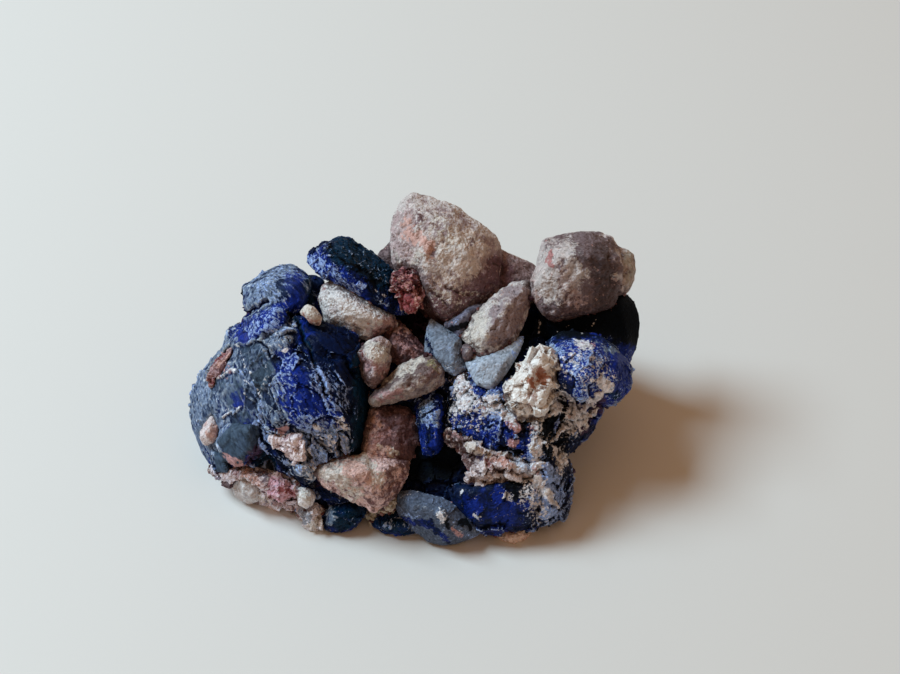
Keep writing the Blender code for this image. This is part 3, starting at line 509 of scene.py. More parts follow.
SALMON, BROWN = (0.64, 0.38, 0.33), (0.19, 0.11, 0.11)
ROSE, CREAM = (0.46, 0.26, 0.27), (0.70, 0.65, 0.60)
peak = fine_net("peak_stone", cell=0.17)
marked(peak, {"dark": 0.0}, [
    ("rose", 0.7, 1.3, (-1.6, 16.4), (-2.0, 11.5)), ("rose", 0.5, 1.0, (0.2, 17.6), (0.0, 11.4)),
    ("salmon", 0.55, 0.8, (-0.7, 16.4), (0.1, 15.0), (1.4, 13.7)),
    ("salmon", 0.5, 0.6, (-1.2, 14.8), (0.6, 14.6)), ("salmon", 0.6, 0.5, (1.8, 12.4), (1.6, 13.4)),
    ("salmon", 0.5, 0.7, (-1.4, 11.0), (0.4, 9.6)),
    ("raise", -0.35, 0.35, "purple", 0.9, 0.35, (2.1, 13.2), (1.9, 12.6)),
    ("tan", 0.65, 2.4, (3.6, 13.6), (4.6, 10.4)), ("tan", 0.4, 1.2, (6.2, 14.6), (7.6, 13.0)),
    ("purple", 0.7, 0.5, (0.2, 17.4), (0.5, 16.6)), ("purple", 0.5, 0.35, (5.9, 14.4), (6.0, 14.0)),
    ("dark", 0.35, 2.0, (0.6, 8.0), (5.5, 7.8), (9.6, 11.0)), ("dark", 0.4, 1.3, (1.6, 6.8), (3.6, 5.4)),
    ("cream", 0.35, 1.6, (2.0, 8.4), (6.0, 7.6)),
    ("brown", 0.45, 1.7, (1.4, 7.2), (5.0, 7.2), (8.8, 9.6)),
    ("brown", 0.5, 1.2, (8.2, 11.8), (10.2, 10.0)), ("purple", 0.6, 1.3, (6.0, 8.6), (9.0, 10.8)),
    ("purple", 0.85, 1.7, (1.4, 7.6), (3.2, 6.4), (5.6, 7.0)),
    ("purple", 0.5, 0.9, (7.6, 9.8), (9.0, 11.4)),
    ("raise", -0.3, 0.15, (3.6, 9.4), (5.2, 8.2), (7.2, 8.8)),
    ("raise", -0.3, 0.15, (1.6, 8.6), (3.6, 7.4)), ("raise", -0.3, 0.15, (6.2, 7.6), (8.4, 9.6)),
    ("purple", 0.7, 0.4, (3.6, 9.4), (5.2, 8.2), (7.2, 8.8)),
    ("brown", 0.6, 1.6, (10.0, 9.8), (13.4, 9.4)), ("purple", 0.5, 1.0, (10.6, 8.6), (13.0, 8.4)),
    ("brown", 0.7, 1.3, (9.8, 11.8), (12.8, 10.4)), ("dark", 0.7, 1.4, (10.2, 11.4), (13.0, 10.0)),
    ("purple", 0.5, 0.9, (10.2, 11.2), (10.8, 9.4)),
    ("purple", 0.8, 0.5, (8.6, 12.0), (9.8, 10.6), (10.0, 9.0)),
    ("raise", -0.25, 0.4, (9.2, 11.6), (9.8, 9.2)), ("cream", 0.6, 0.7, (0.7, 12.9), (0.4, 12.2)),
    ("cream", 0.5, 1.0, (2.4, 16.4), (4.2, 14.2)), ("cream", 0.5, 0.5, (-1.6, 12.4), (-1.4, 11.0)),
    ("raise", -0.25, 0.3, (-0.4, 17.2), (-0.1, 16.4)),
])
skinned(peak, stone_tree, stone_finish(
    "peak_sandstone", (0.64, 0.575, 0.565), (0.36, 0.27, 0.28),
    {"tan": (0.74, 0.66, 0.62), "rose": (0.45, 0.33, 0.34), "brown": (0.24, 0.15, 0.15),
     "purple": (0.13, 0.06, 0.075), "cream": CREAM, "salmon": SALMON}),
    wear=4, lump_height=0.4, knob_size=1.1, knob_height=0.2)
belongs(peak, "peak_stone")

# ---------------------------------------------------------------- knob stone
# The round grey-mauve sandstone grain at the right shoulder, paler and pinker
# on its left cheek, with a thin weathered fin along its right edge. It is set
# in the dark azurite behind it.
knob = fine_net("knob_stone", cell=0.16)
marked(knob, {"dark": 0.2}, [
    ("cream", 0.75, 1.1, (14.2, 12.5), (14.6, 8.8)), ("rose", 0.8, 0.6, (13.6, 11.2), (13.6, 8.2)),
    ("red", 0.95, 0.3, (15.2, 12.9), (15.2, 11.5)), ("cream", 0.6, 0.8, (15.6, 12.8), (17.2, 13.6)),
    ("dark", 0.35, 1.8, (18.6, 13.4), (20.6, 9.6)), ("dark", 0.5, 1.1, (15.0, 7.6), (21.5, 6.6)),
    ("brown", 0.6, 1.0, (15.0, 7.2), (21.5, 6.4)), ("cream", 0.3, 1.0, (17.6, 12.6), (19.0, 9.8)),
    ("brown", 0.55, 0.9, (18.0, 12.6), (18.2, 9.0)),
    # Its right side is painted dark brown as shade.
    ("brown", 0.95, 1.3, "dark", 0.6, 1.3, (20.6, 12.6), (21.2, 8.2)),
    ("rose", 0.6, 1.4, (15.6, 11.8), (17.6, 8.2)), ("cream", 0.45, 1.6, (15.8, 8.6), (17.2, 11.0)),
    ("olive", 0.8, 0.5, (23.6, 12.8), (23.9, 9.6)), ("cream", 0.6, 0.3, (22.2, 10.8), (23.4, 9.6)),
    ("raise", 0.25, 0.35, (22.4, 12.6), (22.9, 9.2)), ("raise", -0.35, 0.25, (21.6, 12.6), (21.9, 9.6)),
    ("raise", -0.2, 0.35, (17.6, 11.2), (17.0, 9.9)),
])
skinned(knob, stone_tree, stone_finish(
    "knob_sandstone", (0.56, 0.49, 0.49), (0.17, 0.12, 0.13),
    {"brown": (0.075, 0.05, 0.055), "rose": (0.50, 0.36, 0.35), "cream": (0.62, 0.56, 0.55),
     "olive": (0.44, 0.41, 0.36), "red": (0.40, 0.14, 0.14)}, patch=1.1),
    wear=3, lump_height=0.4, knob_size=1.1, knob_height=0.26, pit_depth=0.3)
belongs(knob, "knob_stone")

# ---------------------------------------------------------------- pale pebbles
# Six small pale grains of quartz sandstone: four in the middle, a bead on the
# left mass and a nub at its edge. They were washed round before the azurite
# grew round them, and are whitish on top and rusty brown at their ends.
PALE_PEBBLES = {
    "leaning_pebble": ((0.64, 0.59, 0.58), (0.34, 0.27, 0.29), [
        # The dark mark down its right side is painted shade.
        ("cream", 0.85, 1.0, (7.1, 6.0), (6.6, 2.2)), ("dark", 0.55, 1.2, (11.6, 8.4), (9.8, 4.0)),
        ("dark", 0.5, 0.4, (9.0, 6.6), (8.8, 3.0)), ("raise", -0.2, 0.2, (9.4, 7.2), (8.9, 4.4)),
        ("raise", -0.2, 0.2, (10.6, 6.6), (9.9, 4.4)), ("raise", -0.3, 0.3, (11.2, 8.6), (11.4, 7.8)),
        ("rose", 0.6, 0.5, (6.2, 1.6), (8.4, 2.0)), ("salmon", 0.6, 0.3, (8.2, 1.6), (10.0, 1.9)),
    ]),
    "white_pebble": ((0.80, 0.77, 0.78), (0.62, 0.54, 0.55), [
        ("rose", 0.7, 0.8, (-10.4, 9.6), (-9.2, 10.6)), ("rose", 0.75, 1.0, (-3.2, 5.2), (-4.2, 4.2)),
        ("brown", 0.5, 0.8, (-2.2, 4.4), (-3.6, 3.4)), ("red", 0.8, 0.35, (-1.9, 4.7), (-2.4, 4.0)),
        ("red", 0.5, 0.4, (-3.2, 3.5), (-4.6, 3.9)), ("brown", 0.6, 0.4, (-10.9, 8.7), (-10.6, 7.4)),
    ]),
    "long_pebble": ((0.46, 0.39, 0.37), (0.17, 0.12, 0.12), [
        ("dark", 0.35, 0.9, (-2.6, -1.6), (1.6, 0.2)), ("cream", 0.8, 0.55, (-3.4, -1.4), (0.6, 0.9)),
        ("rose", 0.7, 0.5, (-4.2, -2.9), (-1.6, -2.6)), ("brown", 0.5, 0.9, (1.6, -0.2), (2.4, -1.2)),
        ("brown", 0.5, 0.5, (-1.0, -1.6), (1.0, -1.2)), ("olive", 0.7, 0.35, (1.6, 0.5), (2.4, 0.2)),
        ("raise", -0.25, 0.25, (-0.2, 0.6), (-0.6, -1.6)),
        ("raise", -0.2, 0.2, (-2.4, -0.4), (-2.8, -2.0)),
    ]),
    "small_pebble": ((0.58, 0.47, 0.48), (0.15, 0.09, 0.10), [
        ("cream", 0.9, 0.9, (-5.2, 2.6), (-4.0, 1.8)), ("rose", 0.7, 0.8, (-5.6, 0.8), (-3.4, 0.2)),
        ("brown", 0.85, 0.8, (-5.2, -0.8), (-3.8, -1.2)), ("brown", 0.6, 0.8, (-3.4, 0.8), (-3.2, -0.8)),
        ("dark", 0.5, 0.3, (-4.2, 2.7), (-4.1, 2.4)), ("raise", -0.25, 0.25, (-5.4, 0.6), (-4.0, 0.5)),
    ]),
    "bead_grain": ((0.74, 0.69, 0.66), (0.55, 0.44, 0.41), [
        ("cream", 0.9, 0.6, (-11.6, 6.5), (-11.2, 6.2)), ("salmon", 0.7, 0.4, (-12.2, 5.9), (-11.0, 5.2)),
    ]),
    "edge_nub": ((0.80, 0.70, 0.72), (0.62, 0.42, 0.42), [
        ("salmon", 0.9, 0.45, (-22.4, -6.5), (-22.7, -7.2)),
    ]),
}
for node, (light, dark, marks) in PALE_PEBBLES.items():
    pebble = fine_net(node, cell=0.13)
    marked(pebble, {"dark": 0.0}, marks)
    glassy = node in ("white_pebble", "bead_grain")
    knobs, sand, pits, contrast = (0.06, 0.015, 0.06, 0.15) if glassy else (0.17, 0.05, 0.18, 0.3)
    skinned(pebble, stone_tree, stone_finish(
        node + "_stone", light, dark,
        {"brown": BROWN, "rose": ROSE, "cream": CREAM, "olive": (0.30, 0.27, 0.14),
         "red": (0.32, 0.07, 0.06), "salmon": SALMON},
        patch=1.4, grain=0.28, contrast=contrast, contact_shade_cover=0.15 if node == "edge_nub" else 0.8),
        wear=3, lump_size=1.6, lump_height=0.26, knob_size=0.8, knob_height=knobs,
        grain_height=sand, pit_size=0.8, pit_depth=pits, swell=0.2)
    belongs(pebble, node)

# ---------------------------------------------------------------- rusty grains
# Crumbly grains coloured by iron: the salmon crust and brown wedge under the
# peak, the mauve chip behind the blade, the lens between the plates, the boot-
# shaped stone, the stub at the front and two pink flecks in the left mass.
# Each grain: its slot, its two tints, the height of its knobs in mm or BROKEN into planes, its marks.
BROKEN = None
RUSTY_GRAINS = {
    "pink_crust": ("pink_stone", (0.56, 0.25, 0.26), (0.08, 0.016, 0.024), BROKEN, [
        ("cream", 0.4, 0.5, (-2.9, 9.6), (-2.3, 8.8)), ("red", 0.8, 0.6, (-1.8, 7.8), (-0.6, 7.4)),
        ("salmon", 0.35, 0.6, (-1.4, 10.2), (0.2, 7.6)), ("red", 0.4, 2.0, (-1.6, 9.6), (-0.8, 7.6)),
        ("raise", -0.4, 0.25, (-2.4, 8.3), (-1.0, 8.6)), ("raise", -0.3, 0.25, (-0.2, 9.0), (-0.6, 7.2)),
    ]),
    "brown_wedge": ("mauve_stone", (0.14, 0.065, 0.07), (0.035, 0.013, 0.018), 0.1, [
        ("salmon", 0.6, 0.6, (-2.8, 4.6), (-1.0, 4.2)), ("rose", 0.6, 0.7, (-2.2, 3.2), (0.8, 1.6)),
        ("red", 0.7, 0.4, (-2.4, 5.0), (-1.6, 4.2)),
    ]),
    "back_chip": ("mauve_stone", (0.24, 0.17, 0.18), (0.07, 0.035, 0.045), 0.1, []),
    "mauve_lens": ("mauve_stone", (0.26, 0.21, 0.23), (0.13, 0.09, 0.11), 0.03, []),
    "boot_stone": ("pink_stone", (0.80, 0.57, 0.56), (0.19, 0.10, 0.11), 0.2, [
        ("cream", 0.8, 1.1, (-9.6, -10.8), (-6.0, -10.3), (-4.4, -11.8)),
        ("salmon", 0.22, 1.8, (-9.0, -10.6), (-4.6, -12.2)),
        ("salmon", 0.7, 0.7, (-7.4, -10.6), (-5.6, -11.8)),
        ("cream", 0.65, 1.2, (-9.4, -11.0), (-6.8, -13.6)),
        ("salmon", 0.7, 0.5, (-3.2, -8.6), (-4.6, -9.6)),
        ("salmon", 0.7, 0.5, (-4.6, -4.8), (-4.0, -6.0)), ("red", 0.6, 0.35, (-8.8, -9.6), (-7.0, -9.7)),
        ("dark", 0.9, 1.6, (-2.8, -4.6), (-1.8, -8.2)), ("raise", -0.5, 0.7, (-2.9, -5.0), (-2.4, -6.2)),
        ("brown", 0.9, 1.4, (-1.6, -5.4), (-1.0, -10.0)), ("rose", 0.6, 0.9, (-4.4, -8.0), (-3.2, -7.0)),
        ("brown", 0.6, 0.6, (-3.0, -11.5), (-2.2, -13.6)),
        ("cream", 0.7, 0.5, (-3.6, -8.4), (-2.4, -9.4)),
        ("raise", -0.25, 0.3, (-5.2, -10.2), (-4.2, -11.6)),
        ("raise", 0.2, 0.5, (-3.6, -9.2), (-2.6, -10.4)),
    ]),
    "stub_stone": ("pink_stone", (0.90, 0.70, 0.62), (0.80, 0.56, 0.50), 0.08, [
        ("dark", 0.9, 0.25, "raise", -0.3, 0.25, (10.7, -17.7), (10.9, -17.5)),
    ]),
    "rose_streak": ("pink_stone", (0.50, 0.32, 0.34), (0.26, 0.14, 0.16), BROKEN, [
        ("red", 0.95, 0.22, (-22.6, 0.9), (-20.9, 2.4)),
        ("raise", -0.3, 0.18, (-22.6, 0.8), (-20.9, 2.3)),
        ("salmon", 0.8, 0.3, (-21.6, 0.6), (-20.8, 1.4)), ("red", 0.8, 0.3, (-22.8, -1.6), (-22.3, -1.0)),
    ]),
    "beige_inclusion": ("pale_stone", (0.94, 0.82, 0.86), (0.62, 0.48, 0.52), BROKEN, [
        ("rose", 0.6, 0.5, (-14.6, -6.9), (-13.2, -7.2)),
    ]),
}
# The skin of everything that breaks into small crystals: tilted planes in two sizes, with raised seams.
SEAM_WIDTHS, SEAM_HEIGHT = (0.02, 0.07), 0.1 * MM
crystal_tree, given, made = skin_tree("Broken crystals", [
    ("Wear", "Int", 1), ("Swell", "Length", 0.2), ("Blade line", "Vector", (0, 0, 0)),
    ("Shard size", "Length", 1.6), ("Shard tilt", "Float", 0.35), ("Shard step", "Length", 0.25),
    ("Chip size", "Length", 0.6), ("Chip tilt", "Float", 0.45), ("Chip step", "Length", 0.06),
    ("Grain size", "Length", 0.3), ("Grain height", "Length", 0.03)])


def along_blades(tree, place, line):
    """Draws places together along the blades, so that patterns come out long that way."""
    return vectors(tree, "SUBTRACT", place, scaled(tree, line, vectors(tree, "DOT_PRODUCT", place, line)))


def broken_planes(tree, place, size, tilt, rise):
    """Splits a surface into cells about size across, each a plane with its own tilt and level."""
    cells = cells_in(tree, place, size)
    lean = step(tree, "ShaderNodeVectorMath", {
        0: cells["Color"], 1: (2, 2, 2), 2: (-1, -1, -1)}, operation="MULTIPLY_ADD")
    slope = vectors(tree, "DOT_PRODUCT", vectors(tree, "SUBTRACT", place, cells["Position"]), lean)
    level = step(tree, "ShaderNodeSeparateXYZ", {"Vector": cells["Color"]})
    return weighed(tree, maths(tree, "MULTIPLY", slope, tilt),
                   (maths(tree, "SUBTRACT", level, 0.5), rise)), level


place = along_blades(crystal_tree, here(crystal_tree), given["Blade line"])
height = 0.0
for label in ("Chip", "Shard"):
    planes, shard = broken_planes(
        crystal_tree, place, *(given[label + part] for part in (" size", " tilt", " step")))
    height = maths(crystal_tree, "ADD", height, planes)
sand = lumps(crystal_tree, place, given["Grain size"])
height = weighed(crystal_tree, height, (sand, given["Grain height"]))
lively = maths(crystal_tree, "SUBTRACT", 1.0, told(crystal_tree, "calm"), clamp=True)
height = maths(crystal_tree, "MULTIPLY", height, lively)
rim = cells_in(crystal_tree, place, given["Shard size"], "DISTANCE_TO_EDGE")["Distance"]
seam = step(crystal_tree, "ShaderNodeMapRange", {
    "Value": rim, "From Min": SEAM_WIDTHS[0], "From Max": SEAM_WIDTHS[1], "To Min": 1.0, "To Max": 0.0})
seam = maths(crystal_tree, "MULTIPLY", seam, told(crystal_tree, "seams"))
height = weighed(crystal_tree, height, (seam, SEAM_HEIGHT))
kept = noted(crystal_tree, noted(crystal_tree, given["Geometry"], "shard", shard), "seam", seam)
given = {"Geometry": kept, "Wear": given["Wear"], "Swell": given["Swell"], "Finish": given["Finish"]}
skin_end(crystal_tree, given, made, height)

BROKEN_ROCK = dict(wear=3, shard_size=1.4, shard_tilt=0.45, shard_step=0.35, chip_size=0.7, chip_tilt=0.3,
                   chip_step=0.1, grain_height=0.0, swell=0.1)
# Grains that get only faint painted shade where they touch other pieces.
FAINT_CONTACT_SHADE_GRAINS = ("rose_streak", "beige_inclusion", "pink_crust", "stub_stone")
DARK_RED, GRAIN_CELL = (0.30, 0.06, 0.065), 0.135
for node, (slot, light, dark, knobs, marks) in RUSTY_GRAINS.items():
    grain = fine_net(node, GRAIN_CELL)
    marked(grain, {"dark": 0.3 if node == "pink_crust" else 0.1, "calm": 0.0}, marks)
    rock = stone_finish(
        node + "_rock", light, dark,
        {"brown": (0.14, 0.07, 0.075), "rose": ROSE, "cream": CREAM, "red": DARK_RED, "salmon": SALMON},
        patch=0.8, grain=0.3, contrast=0.35, pit=(0.06, 0.022, 0.025),
        contact_shade_cover=0.1 if node in FAINT_CONTACT_SHADE_GRAINS else 0.8)
    if knobs is BROKEN:
        skinned(grain, crystal_tree, rock, **BROKEN_ROCK)
    else:
        skinned(grain, stone_tree, rock, wear=3, lump_size=1.6, lump_height=0.36, knob_size=0.8,
                knob_height=knobs, pit_size=0.75, pit_depth=0.28, swell=0.2)
    belongs(grain, node, smooth=knobs is not BROKEN)

# ---------------------------------------------------------------- cement
# The sandy cement that holds the grains: the pink corner at the lower left
# with its grey pebble, rose crystals and white grain, the crumbly arch and
# ledge on the right mass, and the soft tan bits at the foot.
CEMENT = {
    "corner_matrix": ("pink_stone", (0.93, 0.86, 0.96), (0.24, 0.12, 0.17), [
        ("cream", 0.9, 0.4, (-23.2, -10.7), (-22.6, -11.5)),
        ("purple", 0.8, 0.6, (-22.4, -11.9), (-20.0, -13.4)),
        ("rose", 0.8, 0.6, (-21.4, -9.4), (-19.5, -11.6)),
        ("salmon", 0.7, 0.7, (-18.4, -11.2), (-17.6, -12.2)),
        ("purple", 0.8, 0.6, (-17.0, -11.6), (-15.8, -12.4)),
        ("cream", 0.6, 0.7, (-19.0, -12.5), (-16.5, -14.2)),
    ]),
    "crumbly_matrix": ("pink_stone", (0.72, 0.64, 0.67), (0.13, 0.08, 0.085), [
        ("dark", 0.5, 0.9, (3.0, -7.0), (6.0, -9.2)), ("cream", 0.5, 0.7, (9.6, -9.6), (12.6, -10.6)),
        ("cream", 0.9, 0.4, (6.2, -8.6), (8.0, -9.6)), ("rose", 0.6, 0.35, (3.0, -6.6), (5.0, -7.6)),
        ("blue", 0.95, 0.3, (7.0, -9.4), (7.4, -9.7)), ("red", 0.8, 0.3, (8.0, -10.3), (8.6, -10.8)),
        ("red", 0.8, 0.3, (9.6, -10.4), (10.2, -9.9)), ("salmon", 0.7, 0.5, (8.6, -10.0), (10.6, -10.6)),
        ("cream", 0.4, 0.7, (11.2, -10.0), (12.4, -10.8)),
        ("frost", 0.9, 0.8, (11.6, -9.8), (12.8, -11.0)), ("brown", 0.7, 0.4, (5.4, -10.2), (6.2, -10.8)),
        ("raise", -0.35, 0.3, (6.4, -10.2), (7.2, -11.0)),
        ("raise", -0.35, 0.3, (10.4, -11.2), (11.2, -10.8)),
        ("raise", -0.3, 0.25, (3.6, -7.8), (5.4, -8.4)),
    ]),
    "tan_cement": ("pale_stone", (0.60, 0.55, 0.47), (0.34, 0.28, 0.26), [
        ("olive", 0.8, 0.8, (-5.2, -15.6), (-4.6, -16.8)),
        ("rose", 0.5, 0.6, (-5.8, -14.6), (-3.4, -14.0)),
    ]),
    "foot_matrix": ("pale_stone", (0.90, 0.84, 0.90), (0.62, 0.54, 0.60), [
        ("slate", 0.9, 0.6, (-12.6, -15.7), (-12.2, -16.5)),
        ("cream", 0.7, 0.6, (-11.2, -17.2), (-10.4, -16.2)),
    ]),
    "rose_crystals": ("pink_stone", (0.70, 0.42, 0.50), (0.24, 0.06, 0.09), [
        ("red", 0.8, 0.3, (-15.0, -13.0), (-13.6, -13.8)),
        ("rose", 0.7, 0.5, (-14.8, -12.0), (-13.2, -12.6)),
    ]),
    "grey_pebble": ("quartz", (0.72, 0.68, 0.69), (0.52, 0.48, 0.50), [
        ("cream", 0.7, 0.5, (-18.9, -12.0), (-17.9, -12.4)),
        ("dark", 0.8, 0.3, (-18.9, -13.6), (-18.3, -13.8)),
    ]),
    "white_grain": ("quartz", (0.97, 0.93, 0.95), (0.90, 0.82, 0.83), [
        ("rust", 0.95, 0.35, (-12.8, -12.6), (-11.2, -12.9)),
        ("cream", 0.8, 0.6, (-12.4, -13.9), (-11.8, -14.3)),
    ]),
}
for node, (slot, light, dark, marks) in CEMENT.items():
    bit = fine_net(node, GRAIN_CELL)
    marked(bit, {"dark": 0.0 if node == "crumbly_matrix" else -0.5, "calm": 0.0}, marks)
    washed = slot == "quartz"
    sand = stone_finish(
        node + "_sand", light, dark,
        {"brown": BROWN, "rose": ROSE, "cream": CREAM, "red": DARK_RED, "salmon": SALMON,
         "purple": (0.11, 0.06, 0.09), "olive": (0.42, 0.38, 0.27), "slate": (0.24, 0.28, 0.36),
         "rust": (0.18, 0.065, 0.03), "blue": (0.01, 0.02, 0.16), "frost": (0.66, 0.72, 0.88)},
        patch=0.8, grain=0.28, contrast=0.2 if washed else 0.4, contact_shade_cover=0.1)
    if washed:
        skinned(bit, stone_tree, sand, wear=6, lump_size=1.7, lump_height=0.5, knob_size=0.8,
                knob_height=0.12, pit_depth=0.1, swell=0.1)
    else:
        skinned(bit, crystal_tree, sand, **BROKEN_ROCK)
    belongs(bit, node, smooth=washed)

# ---------------------------------------------------------------- quartz crystal
# A milky quartz crystal right of the middle, sugary white, with two rusty
# iron spots in a hollow near its right edge. It sits in a socket of azurite.
quartz = fine_net("quartz_crystal", cell=0.12)
marked(quartz, {"dark": -0.1, "calm": 0.0}, [
    ("rust", 1.3, 0.5, (14.0, -0.2), (14.2, -0.9)), ("rust", 1.1, 0.4, (12.8, -1.4), (13.1, -1.8)),
    ("rose", 0.6, 0.9, (13.6, -0.6), (13.4, -1.6)), ("brown", 0.6, 0.35, (14.3, -1.6), (13.9, -2.2)),
    ("rose", 0.5, 0.6, (13.2, -3.0), (12.6, -4.2)), ("raise", -0.7, 0.6, (14.0, -0.4), (13.6, -1.7)),
    ("cream", 0.5, 1.2, (11.6, 1.2), (10.6, -2.4)), ("raise", 0.3, 0.4, (10.4, -2.0), (11.4, -3.6)),
    ("calm", 0.9, 1.0, (13.9, -0.2), (13.4, -1.8)),
])
skinned(quartz, crystal_tree, stone_finish(
    "milky_quartz", (0.87, 0.85, 0.84), (0.74, 0.68, 0.66),
    {"rose": (0.58, 0.44, 0.42), "cream": (0.88, 0.86, 0.84), "brown": (0.20, 0.09, 0.05),
     "rust": (0.34, 0.095, 0.03)}, patch=1.2, grain=0.4, contrast=0.25, pit=(0.30, 0.20, 0.16),
    glint=(0.85, 0.83, 0.82)),
    wear=3, shard_size=1.7, shard_tilt=0.5, shard_step=0.4, chip_size=0.8, chip_tilt=0.3, chip_step=0.08,
    grain_height=0.0, swell=0.1)
belongs(quartz, "quartz_crystal", smooth=False)

# ---------------------------------------------------------------- azurite masses
# The two bodies of azurite, copper carbonate grown as a crust of small tilted
# blades between the grains: the domed left mass with its ribbed blue face, and
# the right mass with the shelf, column and knob. Chalky dust coats both.
NAVY, ULTRAMARINE, TEAL = (0.0008, 0.0075, 0.042), (0.006, 0.025, 0.25), (0.0008, 0.022, 0.055)
DUST, BLOOM, CHALK = (0.18, 0.25, 0.37), (0.30, 0.42, 0.74), (0.78, 0.77, 0.82)
PALE_DUST, DARK_DUST_AND_DIP_SHADE, SLATE = (0.46, 0.51, 0.57), (0.035, 0.06, 0.14), (0.05, 0.08, 0.15)
# The first value on the next line is the near-black tint of painted shade in dips and hollows.
PAINTED_RECESS_SHADE, CRYSTAL = (0.001, 0.003, 0.012), 0.3 * MM
# Every coat in the order it lies: its tint, patch size in mm, raggedness and edge.
COATS = {
    "dust": (DUST, 0.5, 1.1, 0.15), "bloom": (BLOOM, 0.24, 1.4, 0.1),
    "seams": (PALE_DUST, 1.6, 1.0, 0.25), "slate": ((0.05, 0.08, 0.125), 0.6, 0.5, 0.15),
    "purple": ((0.06, 0.03, 0.065), 0.6, 0.8, 0.2), "rose": ((0.52, 0.30, 0.31), 0.45, 1.1, 0.15),
    # Black is mostly painted shade, laid in crevices, slits, hollows and where pieces meet.
    "black": ((0.0012, 0.003, 0.005), 0.6, 0.6, 0.15), "chalk": (CHALK, 0.42, 1.2, 0.1),
}
COAT_COVER, SEAM_COVER, PAINTED_RECESS_SHADE_COVER = 0.95, 0.7, 0.85


def azurite_finish(name, dust=DUST, line=(0, 0, 0), gloss=0.45, tilt=0.9, mottle=1.0):
    """Azurite: navy to ultramarine by crystal, with dust, bluish bloom and chalk on what stands out,
    painted shade in hollows and gaps.
    """
    material, tree, place = new_finish(name)
    place = along_blades(tree, place, line)
    relief, shard = felt(tree, "relief"), felt(tree, "shard")
    lit = weighed(tree, felt(tree, "blue"), (maths(tree, "SUBTRACT", shard, 0.5), 0.7))
    colour = mixed(tree, coat(tree, place, lit, size=1.0, ragged=0.9, edge=0.3), NAVY, ULTRAMARINE)
    teal = coat(tree, place, felt(tree, "teal"), size=1.4, ragged=0.5, edge=0.25)
    colour = mixed(tree, teal, colour, TEAL)
    high = weighed(tree, -0.2, (shard, 0.4), (relief, 0.12))
    # The dust is mottled dark and pale; the dark mottling gathers in dips, partly as painted shade.
    for start, weight, size, edge, tint in (
            (0.36, -0.15, 0.4, 0.15, DARK_DUST_AND_DIP_SHADE), (0.24, 0.12, 0.3, 0.2, PALE_DUST)):
        amount = weighed(tree, start * mottle, (relief, weight))
        dust = mixed(tree, coat(tree, place, amount, size, 1.1 * mottle, edge), dust, tint)
    for kind, (tint, size, ragged, edge) in COATS.items():
        amount, cover = felt(tree, kind), COAT_COVER
        if kind in ("dust", "bloom"):
            amount = maths(tree, "ADD", amount, high)
        elif kind == "seams":
            faces = maths(tree, "MULTIPLY", maths(tree, "SUBTRACT", 0.75, shard, clamp=True), amount)
            colour = mixed(tree, maths(tree, "MULTIPLY", faces, 0.75, clamp=True), colour, SLATE)
            amount, cover = weighed(tree, -0.3, (felt(tree, "seam"), 0.6)), SEAM_COVER
        # Near other pieces the black coat grows as painted shade in the gaps, the rose coat as pink
        # crumbs.
        elif kind in ("black", "rose"):
            amount = weighed(tree, amount, (felt(tree, "contact"), 0.45))
        mask = coat(tree, place, amount, size, ragged, edge)
        colour = mixed(tree, mask, colour, dust if kind == "dust" else tint, cover)
    grains = group(tree, grain_group, place=place, color=colour, size=CRYSTAL, contrast=0.6)
    # Painted shade: near-black in small dips and broad hollows.
    deep = maths(tree, "MULTIPLY_ADD", relief, -0.4,
                 maths(tree, "MULTIPLY", felt(tree, "bulge"), -0.25), clamp=True)
    colour = mixed(tree, deep, grains["Color"], PAINTED_RECESS_SHADE, PAINTED_RECESS_SHADE_COVER)
    dulled = maths(tree, "MAXIMUM", felt(tree, "dust"), felt(tree, "black"))
    rough = maths(tree, "MULTIPLY_ADD", dulled, 0.5, gloss, clamp=True)
    loose = maths(tree, "MULTIPLY_ADD", felt(tree, "calm"), -tilt, tilt, clamp=True)
    facets = group(tree, facet_group, place=place, size=CRYSTAL, tilt=loose)
    finish_ends(tree, colour, rough, grains, facets, depth=0.05, gloss=0.1)
    return material


